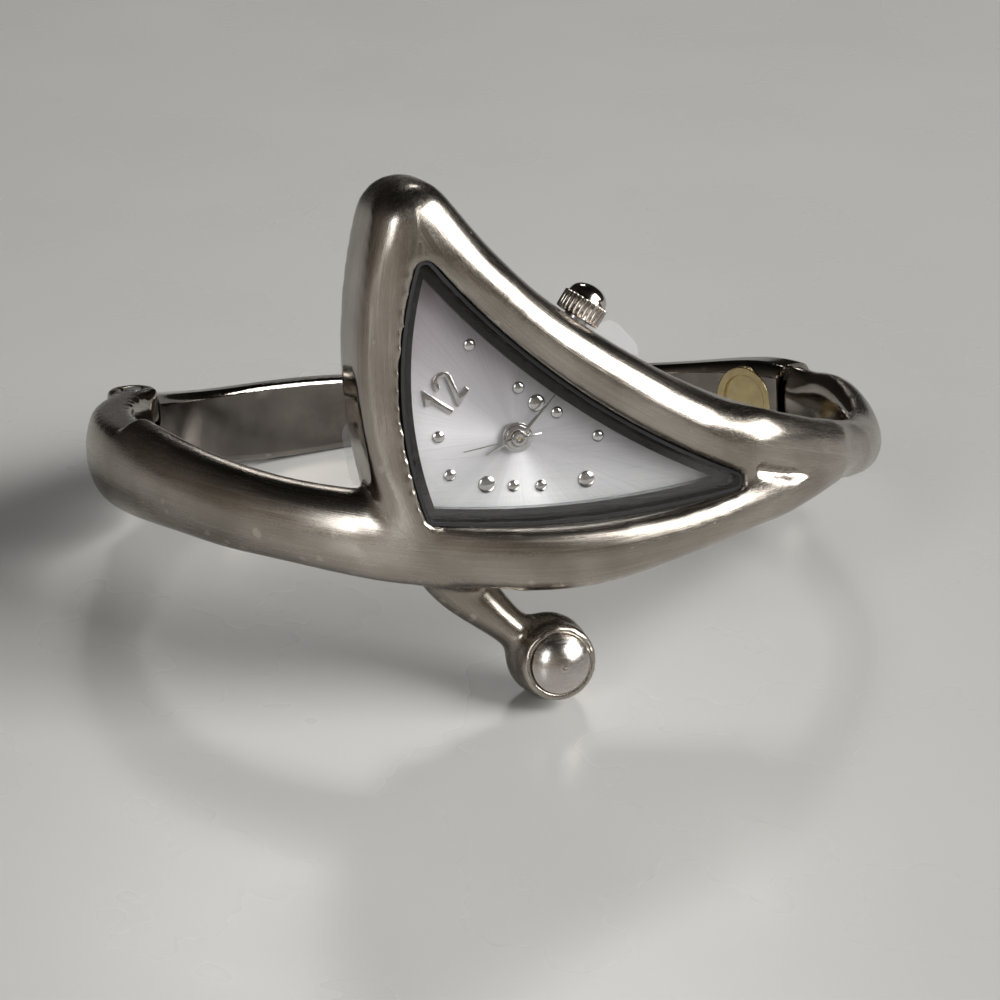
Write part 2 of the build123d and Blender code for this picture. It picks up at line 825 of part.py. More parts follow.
def rotor():
    pinion = Pos(0, 0, step_level - level_gap) * gear(rotor_pinion_teeth, train_module, pinion_height,
                                                      rotor_angle + 180, True)
    magnet = disc(rotor_radius, stator_level, stator_level + rotor_height)
    arbor = disc(pivot_radius, bridge_back, plate_back + pivot_radius)
    return in_movement(Pos(rotor_place) * (pinion + magnet + arbor))


def centre_wheel():
    bore = disc(pivot_radius + running_clearance, -overrun, overrun)
    wheel = Pos(0, 0, centre_level) * gear(centre_wheel_teeth, centre_module, wheel_thickness, third_angle, False)
    cannon = Pos(0, 0, cannon_level) * gear(cannon_teeth, motion_module, pinion_height, minute_wheel_angle, True)
    tube = disc(cannon_radius, centre_level, minute_hand_level + hand_thickness)
    return in_movement(wheel + cannon + tube - bore)


def minute_wheel():
    wheel = Pos(0, 0, cannon_level) * gear(minute_wheel_teeth, motion_module, wheel_thickness,
                                           minute_wheel_angle + 180, False)
    pinion = Pos(0, 0, cannon_level + wheel_thickness) * gear(
        minute_pinion_teeth, hour_module, pinion_height, minute_wheel_angle + 180, True)
    bore = disc(pivot_radius + running_clearance, -overrun, overrun)
    return in_movement(Pos(minute_place) * (wheel + pinion - bore))


def hour_wheel():
    wheel = Pos(0, 0, hour_wheel_level) * gear(hour_wheel_teeth, hour_module, pinion_height / 2,
                                               minute_wheel_angle, False)
    tube = disc(hour_tube_radius, hour_wheel_level, hour_hand_level + hand_thickness)
    bore = disc(cannon_radius + running_clearance, -overrun, overrun)
    return in_movement(wheel + tube - bore)


def setting_wheel():
    turn = setting_angle + 180
    wheel = Pos(0, 0, cannon_level) * gear(setting_wheel_teeth, motion_module, wheel_thickness, turn, True)
    bore = disc(pivot_radius + running_clearance, -overrun, overrun)
    return in_movement(Pos(setting_place) * (wheel - bore))


def stator():
    left, right, low, high = [share * movement_height for share in stator_shares]
    plate = Pos((left + right) / 2, (low + high) / 2) * Rectangle(right - left, high - low)
    leg = core_leg_width()
    for x in (left + leg / 2, right - leg / 2):
        top = coil_shares[1] * movement_height + leg / 2
        plate = plate + Pos(x, (low + top) / 2) * Rectangle(leg, top - low)
    plate = plate - Pos(rotor_place) * Circle(rotor_radius + 4 * level_gap)
    return in_movement(Pos(0, 0, stator_level) * extrude(plate, stator_thickness))


def core_leg_width():
    return (stator_shares[1] - stator_shares[0]) * movement_height / 2 - coil_length / 2 - fit


def coil_core():
    left, right = [share * movement_height for share in stator_shares[:2]]
    y = coil_shares[1] * movement_height
    bar_face = Pos((left + right) / 2, y) * Rectangle(right - left, core_leg_width())
    return in_movement(Pos(0, 0, stator_level + stator_thickness + slack) * extrude(bar_face, core_thickness))


def coil():
    centre = plate_point(coil_shares) * Pos(0, 0, coil_level)
    winding = centre * Rot(0, 90, 0) * Cylinder(coil_radius, coil_length)
    hole = centre * Pos(0, 0, slack) * Box(coil_length + overrun, core_leg_width() + 2 * slack,
                                           core_thickness + 2 * slack)
    return in_movement(winding - hole)


def battery():
    body = plate_point(battery_shares) * disc(battery_radius, battery_top - battery_thickness, battery_top)
    rim = body.edges().filter_by(GeomType.CIRCLE)
    return in_movement(chamfer(rim, cup_wall / 2))


def strap_face(margin=0.0):
    face = plate_point(battery_shares) * Circle(battery_radius / 2 + margin)
    centre = plate_point(battery_shares).position
    for shares in pillar_shares[2:]:
        end = plate_point(shares).position
        face = face + trace(Line(centre, end), strap_width + 2 * margin)
        face = face + Pos(end) * Circle(strap_width / 2 + margin)
    return face


def battery_strap():
    """Spring plate under the battery, held by two of the movement's screws."""
    level = battery_top - battery_thickness - slack - strap_thickness
    face = strap_face()
    for shares in pillar_shares[2:]:
        face = face - plate_point(shares) * Circle(screw_radius + fit)
    return in_movement(Pos(0, 0, level) * extrude(face, strap_thickness))


def circuit_board():
    left = movement_width / 2 - 2 * fit
    top = movement_height / 2 - 2 * fit
    face = plate_face(-2 * fit) & (Pos(left / 2 + screw_head, 0) * Rectangle(left, 2 * top)
                                   + Pos(0, top - bridge_height / 4) * Rectangle(2 * left, bridge_height / 2))
    face = face - plate_point(battery_shares) * Circle(battery_radius + 4 * fit) - strap_face(2 * fit)
    for shares in pillar_shares[:2]:
        face = face - plate_point(shares) * Circle(screw_radius + fit)
    face = (face - Circle(screw_head_radius)).faces().sort_by(SortBy.AREA)[-1]
    return in_movement(Pos(0, 0, bridge_back - slack - board_thickness) * extrude(face, board_thickness))


def chip():
    level = bridge_back - 2 * slack - board_thickness
    body = disc(chip_radius, level - chip_thickness, level)
    body = fillet(body.edges().group_by(Axis.Z)[0], chip_round)
    return in_movement(plate_point(chip_shares) * body)


def oscillator():
    level = bridge_back + oscillator_radius
    place = plate_point(oscillator_shares) * Pos(0, 0, level) * Rot(0, 90, 0)
    return in_movement(place * Cylinder(oscillator_radius, oscillator_length))


def movement_screws():
    screws = []
    for shares in pillar_shares:
        head = disc(screw_head_radius, screw_seat - screw_head, screw_seat)
        shank = disc(screw_radius, bridge_top + screw_length / 2 - screw_length, bridge_top + screw_length / 2)
        screws.append(in_movement(plate_point(shares) * (head + shank)))
    return Compound(screws)


# Stem and crown

def stem():
    rod = disc(stem_radius, clutch_start + clutch_length + fit, stem_end)
    rod = rod + disc(stem_radius - groove_depth, stem_start, stem_end)
    groove = (disc(stem_radius + slack, groove_place - groove_width / 2, groove_place + groove_width / 2)
              - disc(stem_radius - groove_depth, 0, stem_end))
    return stem_axis() * (rod - groove)


def sliding_pinion():
    bore = disc(stem_radius - groove_depth + running_clearance, 0, stem_end)
    ring = disc(clutch_radius, clutch_start, clutch_start + clutch_length)
    waist = (disc(clutch_radius + slack, clutch_start + clutch_length / 3, clutch_start + 2 * clutch_length / 3)
             - disc(clutch_radius - groove_depth, 0, stem_end))
    return stem_axis() * (ring - waist - bore)


def setting_lever():
    level = -stem_drop - stem_radius - level_gap - lever_thickness
    arm = trace(Line((groove_place, 0), (groove_place, -lever_reach)), lever_width / 2)
    arm = arm + Pos(groove_place, -lever_reach) * Circle(lever_width / 2) + Pos(groove_place, 0) * Circle(lever_width / 4)
    pin = Pos(groove_place, 0) * disc(lever_pin_radius, level, -stem_drop - stem_radius + groove_depth - slack)
    pivot = Pos(groove_place, -lever_reach) * disc(pivot_radius, level, plate_back)
    return in_movement(Pos(0, 0, level) * extrude(arm, lever_thickness) + pin + pivot)


def crown_tube():
    return stem_axis() * (disc(tube_radius, tube_start, tube_end) - disc(tube_bore, 0, stem_end))


def crown():
    skirt = Circle(crown_radius) - PolarLocations(crown_radius, crown_flutes) * Circle(flute_radius)
    skirt = Pos(0, 0, crown_start) * extrude(skirt, crown_skirt)
    top = crown_start + crown_skirt
    body = skirt + dome(crown_radius - flute_radius, crown_rise, top)
    body = body - disc(crown_radius - crown_wall, 0, tube_end + crown_roof_gap)
    return stem_axis() * (body - disc(stem_radius + slack, 0, stem_end + slack))


def crown_gasket():
    low = crown_start + crown_gasket_inset
    ring = disc(crown_radius - crown_wall - slack, low, low + crown_gasket_thickness)
    return stem_axis() * (ring - disc(tube_radius + running_clearance, 0, stem_end))


# Hands

def hand(length, width, tail, boss, bore, level):
    """Tapered hand that points up, with a round boss."""
    tip = 0.45 * width
    outline = Polyline((-width / 2, -tail), (width / 2, -tail), (tip / 2, length), (-tip / 2, length), close=True)
    face = make_face(outline) + Circle(boss)
    if bore:
        face = face - Circle(bore)
    return Pos(0, 0, level) * extrude(face, hand_thickness)


# Time shown, as turns of each hand from 12 o'clock in degrees
hour_turn = 301
minute_turn = 100
second_turn = 317


def hour_hand():
    shape = hand(hour_hand_length, hand_width, 0, hour_boss_radius, hour_tube_radius + slack / 2, hour_hand_level)
    return in_movement(Rot(0, 0, -hour_turn) * shape)


def minute_hand():
    shape = hand(minute_hand_length, hand_width, 0, minute_boss_radius, cannon_radius + slack / 2, minute_hand_level)
    return in_movement(Rot(0, 0, -minute_turn) * shape)


def second_hand():
    shape = hand(second_hand_length, second_hand_width, second_tail_length, second_boss_radius,
                 pivot_radius + slack / 2, second_hand_level)
    return in_movement(Rot(0, 0, -second_turn) * shape)


# Rear band, hinge and catch

# Plan angle, lower and upper edge as shares of hinge_end_top, thickness as a share of catch_thickness
rear_band_shares = (
    (16.3, 0.09, 0.80, 1.00),
    (25.5, 0.09, 0.80, 1.00),
    (36, 0.09, 0.74, 0.78),
    (50, 0.10, 0.67, 0.56),
    (66, 0.11, 0.66, 0.51),
    (80, 0.13, 0.67, 0.51),
    (92, 0.135, 0.68, 0.51),
    (104, 0.115, 0.72, 0.51),
    (114, 0.125, 0.74, 0.51),
    (125, 0.18, 0.77, 0.56),
    (138, 0.20, 0.86, 0.80),
    (150, 0.16, 0.97, 1.05),
)
tongue_root_angle = 8
tongue_tip_angle = 32
tongue_step_angles = (17.5, 19.5)
tongue_slit_angle = 20.5
slot_end_angle = 1
root_gap_angle = 0.2


def hinge_pin():
    return hinge_axis() * disc(hinge_pin_radius, hinge_foot, hinge_end_top - slack)


def rear_band():
    sections = []
    for angle, low, high, thick in rear_band_shares:
        thickness = thick * catch_thickness
        x, y, lean = plan_point(angle, thickness / 2)
        centre = Vector(x, y, (low + high) / 2 * hinge_end_top)
        across = Plane(centre, x_dir=direction(lean), z_dir=direction(lean + 90))
        sections.append(across * RectangleRounded(thickness, (high - low) * hinge_end_top,
                                                  rear_round_share * thickness))
    body = loft(sections)
    clear = knuckle_radius + knuckle_gap
    body = body - hinge_axis() * disc(clear, -overrun, knuckle_low)
    body = body - hinge_axis() * disc(clear, knuckle_high, hinge_end_top + overrun)
    past_axis = hinge_axis() * Rot(0, 0, plan_point(hinge_angle)[2]) * Pos(0, overrun, 0) * Box(
        2 * overrun, 2 * overrun, 8 * overrun)
    body = body - past_axis
    body = body + hinge_axis() * disc(knuckle_radius, knuckle_low, knuckle_high)
    body = body - hinge_axis() * disc(hinge_pin_radius + pin_clearance, -overrun, hinge_end_top + overrun)
    body = body - catch_frame() * disc(cup_radius + slack, -catch_thickness - overrun, cup_seat - catch_thickness)
    body = body - catch_frame() * disc(cup_barrel_radius + slack, -catch_thickness, web_level)
    body = body - catch_frame() * disc(button_shank_radius + fit, -catch_thickness, -slot_inset)
    body = body - catch_frame() * disc(button_radius + fit, -slot_inset - slot_width / 2, overrun)
    return body - slot_strip()


def catch_frame():
    """Frame on the outside of the band's catch end, with Z outwards."""
    x, y, lean = plan_point(catch_angle)
    return Plane((x, y, catch_level), x_dir=(0, 0, 1), z_dir=direction(lean))


def strip_angles(start, end):
    return [start + (end - start) * i / 4 for i in range(5)]


def slot_strip():
    start = rear_band_shares[0][0] - 2 * slot_end_angle
    end = tongue_tip_angle + slot_end_angle
    return band_strip(strip_angles(start, end), catch_level, tongue_height + 4 * fit, slot_inset, slot_width)


def tongue_inset():
    return slot_inset + fit + tongue_step


def catch_strip(gap, start, end):
    return band_strip(strip_angles(start, end), catch_level, tongue_height + 2 * gap,
                      tongue_inset() - gap, tongue_thickness + 2 * gap)


def catch_tongue():
    """Leaf with two prongs and a raised step, that snaps behind the mouth of the rear band."""
    leaf = catch_strip(0, tongue_root_angle + root_gap_angle, tongue_tip_angle)
    step = band_strip(strip_angles(*tongue_step_angles), catch_level, tongue_height,
                      tongue_inset() - tongue_step, tongue_thickness + tongue_step)
    slit_angles = strip_angles(tongue_slit_angle, tongue_tip_angle + 2 * slot_end_angle)
    slit = band_strip(slit_angles, catch_level, tongue_slit, tongue_inset() - slot_width, 2 * slot_width)
    return leaf + step - slit


def spring_cup():
    inner = -catch_thickness
    rim = disc(cup_radius, inner - cup_proud, inner + cup_seat)
    rim = rim - disc(cup_radius - cup_rim, inner - overrun, inner - cup_proud + cup_recess)
    edge = rim.edges().group_by(Axis.Z)[0].filter_by(GeomType.CIRCLE)
    rim = fillet(edge, cup_proud / 3)
    barrel = (disc(cup_barrel_radius, inner + cup_seat, web_level - slack)
              - disc(cup_barrel_radius - cup_wall, inner + cup_seat, overrun))
    return catch_frame() * (rim + barrel)


def catch_button():
    underside = fit - tongue_inset()
    head = disc(button_radius, underside, button_rise)
    head = fillet(head.edges().group_by(Axis.Z)[-1], button_rise / 2)
    shank = disc(button_shank_radius, foot_level, underside)
    foot = disc(button_foot_radius, foot_level, foot_level + button_foot)
    return catch_frame() * (head + shank + foot)


def button_spring():
    floor = cup_seat - catch_thickness + slack
    height = foot_level - floor - spring_wire - slack
    radius = button_foot_radius - spring_wire / 2
    path = Helix(height / spring_coils, height, radius)
    start = Plane(path @ 0, z_dir=path % 0)
    wire = sweep(start * Circle(spring_wire / 2), path)
    return catch_frame() * Pos(0, 0, floor + spring_wire / 2) * wire


# Assembly

parts = {
    "front_casting": front_casting,
    "end_stud": end_stud,
    "crystal": crystal,
    "crystal_gasket": crystal_gasket,
    "dial_ring": dial_ring,
    "dial": dial,
    "hour_dots": hour_dots,
    "numeral_12": numeral_12,
    "hour_hand": hour_hand,
    "minute_hand": minute_hand,
    "second_hand": second_hand,
    "movement_holder": movement_holder,
    "main_plate": main_plate,
    "train_bridge": train_bridge,
    "second_wheel": second_wheel,
    "step_wheel": step_wheel,
    "third_wheel": third_wheel,
    "centre_wheel": centre_wheel,
    "minute_wheel": minute_wheel,
    "hour_wheel": hour_wheel,
    "setting_wheel": setting_wheel,
    "rotor": rotor,
    "stator": stator,
    "coil_core": coil_core,
    "coil": coil,
    "battery": battery,
    "battery_strap": battery_strap,
    "circuit_board": circuit_board,
    "chip": chip,
    "oscillator": oscillator,
    "movement_screws": movement_screws,
    "stem": stem,
    "sliding_pinion": sliding_pinion,
    "setting_lever": setting_lever,
    "crown_tube": crown_tube,
    "crown": crown,
    "crown_gasket": crown_gasket,
    "case_back": case_back,
    "case_back_gasket": lambda: back_gasket(slack),
    "back_screws": back_screws,
    "back_film": back_film,
    "hinge_pin": hinge_pin,
    "rear_band": rear_band,
    "catch_tongue": catch_tongue,
    "catch_button": catch_button,
    "button_spring": button_spring,
    "spring_cup": spring_cup,
}


def resting(shapes):
    """Location that lays the watch on its curled arm and the rear band, over the origin."""
    tipped = Rot(0, -rest_lean, 0) * Rot(-rest_tilt, 0, 0)
    box = Compound([tipped * shape for shape in shapes]).bounding_box()
    middle = box.center()
    return Pos(-middle.X, -middle.Y, -box.min.Z) * tipped


def main():
    os.makedirs("parts", exist_ok=True)
    shapes = {name: make() for name, make in parts.items()}
    place = resting(list(shapes.values()))
    for name, shape in shapes.items():
        export_step(place * shape, f"parts/{name}.step")


main()
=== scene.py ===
import json
import math

import bmesh
import bpy
import numpy as np
from mathutils import Matrix, Vector
from mathutils.bvhtree import BVHTree

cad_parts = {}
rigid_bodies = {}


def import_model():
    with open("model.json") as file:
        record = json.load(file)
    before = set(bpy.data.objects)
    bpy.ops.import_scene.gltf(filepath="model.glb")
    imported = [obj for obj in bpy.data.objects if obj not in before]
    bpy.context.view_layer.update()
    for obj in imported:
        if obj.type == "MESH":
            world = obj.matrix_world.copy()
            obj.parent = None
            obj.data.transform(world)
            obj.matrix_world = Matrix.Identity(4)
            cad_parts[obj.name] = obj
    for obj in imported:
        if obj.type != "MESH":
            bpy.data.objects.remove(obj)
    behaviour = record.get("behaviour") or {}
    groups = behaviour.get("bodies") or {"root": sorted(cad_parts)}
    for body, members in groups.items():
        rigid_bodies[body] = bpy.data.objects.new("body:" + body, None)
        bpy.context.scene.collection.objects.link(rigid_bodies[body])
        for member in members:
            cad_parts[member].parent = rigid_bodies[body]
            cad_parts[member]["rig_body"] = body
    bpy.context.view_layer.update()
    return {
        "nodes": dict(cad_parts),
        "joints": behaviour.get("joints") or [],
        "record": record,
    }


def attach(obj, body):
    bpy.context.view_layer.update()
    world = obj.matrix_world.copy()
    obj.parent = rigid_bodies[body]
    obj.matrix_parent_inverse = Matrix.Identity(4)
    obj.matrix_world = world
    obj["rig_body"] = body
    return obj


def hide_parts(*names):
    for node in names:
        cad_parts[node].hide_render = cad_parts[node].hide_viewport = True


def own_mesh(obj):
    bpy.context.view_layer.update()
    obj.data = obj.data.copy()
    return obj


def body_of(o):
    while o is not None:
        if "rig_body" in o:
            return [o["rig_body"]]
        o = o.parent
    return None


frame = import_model()
nodes = frame["nodes"]
joints = {joint["name"]: joint for joint in frame["joints"]}

MM = 0.001

# Places in the band's own frame: X right, Y back, Z along the wrist axis, in millimetres
HANDS_PIVOT = Vector((-5.2514, -23.38, 11.9014))
DIAL_FACE_DEPTH = -24.8
TWELVE_TURN = math.radians(55)
HALF_WIDTH = 33.6
FRONT_DEPTH = 29.8
REAR_DEPTH = 27.0

# Camera, in the band's frame: turn, rise and roll, distance and target in millimetres, and the target's pixel
CAMERA_TURN = math.radians(-17)
CAMERA_RISE = math.radians(12.5)
CAMERA_ROLL = math.radians(2)
CAMERA_DISTANCE = 330
CAMERA_TARGET = Vector((0, 0, 3.5))
PIXELS_PER_MM = 11.9
IMAGE_SIZE = 1000
TARGET_PIXEL = (487, 472)
SENSOR = 36


def band_frame():
    """Matrix from the band's own frame, in metres, to the row frame."""
    up = Vector(joints["rear_band_hinge"]["axis"]).normalized()
    back = Vector(joints["seconds_turn"]["axis"]).normalized()
    right = back.cross(up).normalized()
    turn = Matrix((right, back, up)).transposed()
    pivot = Vector(joints["seconds_turn"]["pos_m"])
    return Matrix.Translation(pivot - turn @ (HANDS_PIVOT * MM)) @ turn.to_4x4()


BAND = band_frame()
BAND_INVERSE = BAND.inverted()


def dial_frame():
    """Matrix of the dial's face: X to 3 o'clock, Y to 12 o'clock, Z to the viewer."""
    three = Vector((math.cos(TWELVE_TURN), 0, math.sin(TWELVE_TURN)))
    out = Vector((0, -1, 0))
    twelve = out.cross(three)
    turn = Matrix((three, twelve, out)).transposed().to_4x4()
    hub = Vector((HANDS_PIVOT.x, DIAL_FACE_DEPTH, HANDS_PIVOT.z)) * MM
    return BAND @ Matrix.Translation(hub) @ turn


DIAL = dial_frame()


class Shader:
    """A node tree with short ways to add and link nodes."""

    def __init__(self, tree):
        self.tree = tree

    def add(self, kind, inputs=None, **settings):
        node = self.tree.nodes.new(kind)
        for name, value in settings.items():
            setattr(node, name, value)
        for name, value in (inputs or {}).items():
            self.set(node.inputs[name], value)
        return node

    def set(self, socket, value):
        if isinstance(value, bpy.types.NodeSocket):
            self.tree.links.new(value, socket)
        else:
            socket.default_value = value

    def math(self, operation, first, second=0.0, clamp=False):
        node = self.add("ShaderNodeMath", {0: first, 1: second}, operation=operation, use_clamp=clamp)
        return node.outputs[0]

    def mix(self, factor, first, second, blend="MIX"):
        node = self.add("ShaderNodeMix", data_type="RGBA", blend_type=blend)
        self.set(node.inputs["Factor"], factor)
        self.set(node.inputs["A"], first)
        self.set(node.inputs["B"], second)
        return node.outputs["Result"]

    def ramp(self, value, stops):
        node = self.add("ShaderNodeValToRGB", {"Fac": value})
        ramp = node.color_ramp
        while len(ramp.elements) < len(stops):
            ramp.elements.new(0.5)
        for element, (place, shade) in zip(ramp.elements, stops):
            element.position = place
            element.color = (shade, shade, shade, 1)
        return node.outputs["Color"]

    def even(self, value):
        """Colour with the same value in each channel."""
        return self.add("ShaderNodeCombineColor", {0: value, 1: value, 2: value}).outputs[0]

    def noise(self, vector, scale, detail=3.0, roughness=0.5):
        node = self.add("ShaderNodeTexNoise", {"Vector": vector, "Scale": scale, "Detail": detail,
                                               "Roughness": roughness})
        return node.outputs["Fac"]

    def bump(self, height, strength, distance, normal=None):
        node = self.add("ShaderNodeBump", {"Height": height, "Strength": strength, "Distance": distance})
        if normal is not None:
            self.set(node.inputs["Normal"], normal)
        return node.outputs["Normal"]


def new_group(name, inputs, outputs):
    """Shader node group with named sockets. Returns its Shader, group input and group output."""
    tree = bpy.data.node_groups.new(name, "ShaderNodeTree")
    for label, kind, default in inputs:
        socket = tree.interface.new_socket(label, in_out="INPUT", socket_type=kind)
        if default is not None:
            socket.default_value = default
    for label, kind in outputs:
        tree.interface.new_socket(label, in_out="OUTPUT", socket_type=kind)
    shader = Shader(tree)
    return shader, shader.add("NodeGroupInput"), shader.add("NodeGroupOutput")


# Mean height of the brushed lines, about which shade and roughness swing
GRAIN_MEAN = 0.8


def build_brushed_grain():
    """Fine lines across a stretched pattern: a height and a light-dark shade."""
    s, i, o = new_group(
        "brushed_grain",
        [("Vector", "NodeSocketVector", None), ("Line Width", "NodeSocketFloat", 0.1),
         ("Line Length", "NodeSocketFloat", 4.0), ("Shade Depth", "NodeSocketFloat", 0.2)],
        [("Height", "NodeSocketFloat"), ("Shade", "NodeSocketFloat")])
    along = s.math("DIVIDE", 1.0, i.outputs["Line Length"])
    across = s.math("DIVIDE", 1.0, i.outputs["Line Width"])
    stretch = s.add("ShaderNodeCombineXYZ", {"X": along, "Y": across, "Z": across})
    scaled = s.add("ShaderNodeVectorMath", {0: i.outputs["Vector"], 1: stretch.outputs[0]},
                   operation="MULTIPLY")
    lines = s.noise(scaled.outputs[0], 1.0, detail=4.0, roughness=0.7)
    coarse_scaled = s.add("ShaderNodeVectorMath", {0: scaled.outputs[0], "Scale": 0.23}, operation="SCALE")
    coarse = s.noise(coarse_scaled.outputs[0], 1.0, detail=2.0)
    height = s.math("ADD", lines, s.math("MULTIPLY", coarse, 0.6))
    depth = s.math("MULTIPLY", s.math("SUBTRACT", height, GRAIN_MEAN), i.outputs["Shade Depth"])
    s.set(o.inputs["Height"], height)
    s.set(o.inputs["Shade"], s.math("ADD", 1.0, depth))
    return s.tree


def build_edge_wear():
    """Masks of worn high edges and of dark hollows, broken up by noise."""
    s, i, o = new_group(
        "edge_wear",
        [("Vector", "NodeSocketVector", None), ("Edge", "NodeSocketFloat", 0.56),
         ("Softness", "NodeSocketFloat", 0.05), ("Breakup Size", "NodeSocketFloat", 1.0)],
        [("Wear", "NodeSocketFloat"), ("Hollow", "NodeSocketFloat")])
    point = s.add("ShaderNodeNewGeometry").outputs["Pointiness"]
    broken = s.noise(i.outputs["Vector"], s.math("DIVIDE", 1.0, i.outputs["Breakup Size"]), detail=4.0)
    reach = s.math("MULTIPLY", i.outputs["Softness"], 0.8)
    shifted = s.math("ADD", point, s.math("MULTIPLY", s.math("SUBTRACT", broken, 0.5), reach))
    above = s.math("SUBTRACT", shifted, i.outputs["Edge"])
    high = s.math("DIVIDE", above, i.outputs["Softness"], clamp=True)
    low_edge = s.math("SUBTRACT", 1.0, i.outputs["Edge"])
    low = s.math("DIVIDE", s.math("SUBTRACT", low_edge, shifted), i.outputs["Softness"], clamp=True)
    s.set(o.inputs["Wear"], high)
    s.set(o.inputs["Hollow"], low)
    return s.tree


def build_surface_dust():
    """Small specks and a soft smudge, as masks."""
    s, i, o = new_group(
        "surface_dust",
        [("Vector", "NodeSocketVector", None), ("Speck Size", "NodeSocketFloat", 0.3),
         ("Amount", "NodeSocketFloat", 0.1), ("Smudge Size", "NodeSocketFloat", 6.0)],
        [("Specks", "NodeSocketFloat"), ("Smudge", "NodeSocketFloat")])
    cell_scale = s.math("DIVIDE", 1.0, i.outputs["Speck Size"])
    cells = s.add("ShaderNodeTexVoronoi", {"Vector": i.outputs["Vector"], "Scale": cell_scale})
    near = s.math("LESS_THAN", cells.outputs["Distance"], 0.16)
    draw = s.add("ShaderNodeSeparateColor", {"Color": cells.outputs["Color"]}).outputs[0]
    picked = s.math("LESS_THAN", draw, i.outputs["Amount"])
    smudge = s.noise(i.outputs["Vector"], s.math("DIVIDE", 1.0, i.outputs["Smudge Size"]), detail=3.0)
    s.set(o.inputs["Specks"], s.math("MULTIPLY", near, picked))
    s.set(o.inputs["Smudge"], smudge)
    return s.tree


def build_sunray():
    """Rays about the pattern's Z axis: shades that change with the angle only, and one sector of painted
    highlight.
    """
    s, i, o = new_group(
        "sunray",
        [("Vector", "NodeSocketVector", None), ("Fine Rays", "NodeSocketFloat", 60.0),
         ("Broad Rays", "NodeSocketFloat", 3.0), ("Glow Direction", "NodeSocketVector", None),
         ("Glow Narrowness", "NodeSocketFloat", 6.0)],
        [("Fine", "NodeSocketFloat"), ("Broad", "NodeSocketFloat"), ("Glow", "NodeSocketFloat")])
    flat = s.add("ShaderNodeVectorMath", {0: i.outputs["Vector"], 1: (1, 1, 0)}, operation="MULTIPLY")
    ray = s.add("ShaderNodeVectorMath", {0: flat.outputs[0]}, operation="NORMALIZE").outputs[0]
    toward = s.add("ShaderNodeVectorMath", {0: ray, 1: i.outputs["Glow Direction"]},
                   operation="DOT_PRODUCT").outputs["Value"]
    # Painted highlight: a sector brighter towards the given direction, where the brushed rays would catch the
    # light
    painted_highlight = s.math("POWER", s.math("MAXIMUM", toward, 0.0), i.outputs["Glow Narrowness"])
    s.set(o.inputs["Fine"], s.noise(ray, i.outputs["Fine Rays"], detail=5.0, roughness=0.75))
    s.set(o.inputs["Broad"], s.noise(ray, i.outputs["Broad Rays"], detail=1.0))
    s.set(o.inputs["Glow"], painted_highlight)
    return s.tree


GRAIN = build_brushed_grain()
WEAR = build_edge_wear()
DUST = build_surface_dust()
SUNRAY = build_sunray()


def grey(value):
    return (value, value, value, 1)


def shaded(colour, share):
    """A colour made darker or lighter, with its alpha."""
    return (*[min(1, part * share) for part in colour], 1)


def millimetres(s, turn=(0, 0, 0), origin=(0, 0, 0)):
    """Object coordinates in millimetres, turned and centred as asked."""
    source = s.add("ShaderNodeTexCoord").outputs["Object"]
    moved = s.add("ShaderNodeVectorMath", {0: source, 1: origin}, operation="SUBTRACT")
    turned = s.add("ShaderNodeVectorRotate", {"Vector": moved.outputs[0], "Rotation": turn},
                   rotation_type="EULER_XYZ", invert=True)
    scaled = s.add("ShaderNodeVectorMath", {0: turned.outputs[0], "Scale": 1 / MM}, operation="SCALE")
    return scaled.outputs[0]


def start_material(name, roughness=0.4, metallic=0.0, **principled):
    material = bpy.data.materials.new(name)
    material.use_nodes = True
    material.node_tree.nodes.clear()
    s = Shader(material.node_tree)
    surface = s.add("ShaderNodeBsdfPrincipled", {"Roughness": roughness, "Metallic": metallic})
    for label, value in principled.items():
        surface.inputs[label.replace("_", " ")].default_value = value
    output = s.add("ShaderNodeOutputMaterial")
    s.set(output.inputs["Surface"], surface.outputs[0])
    return material, s, surface


def group(s, tree, **inputs):
    node = s.add("ShaderNodeGroup", node_tree=tree)
    for label, value in inputs.items():
        s.set(node.inputs[label.replace("_", " ")], value)
    return node.outputs


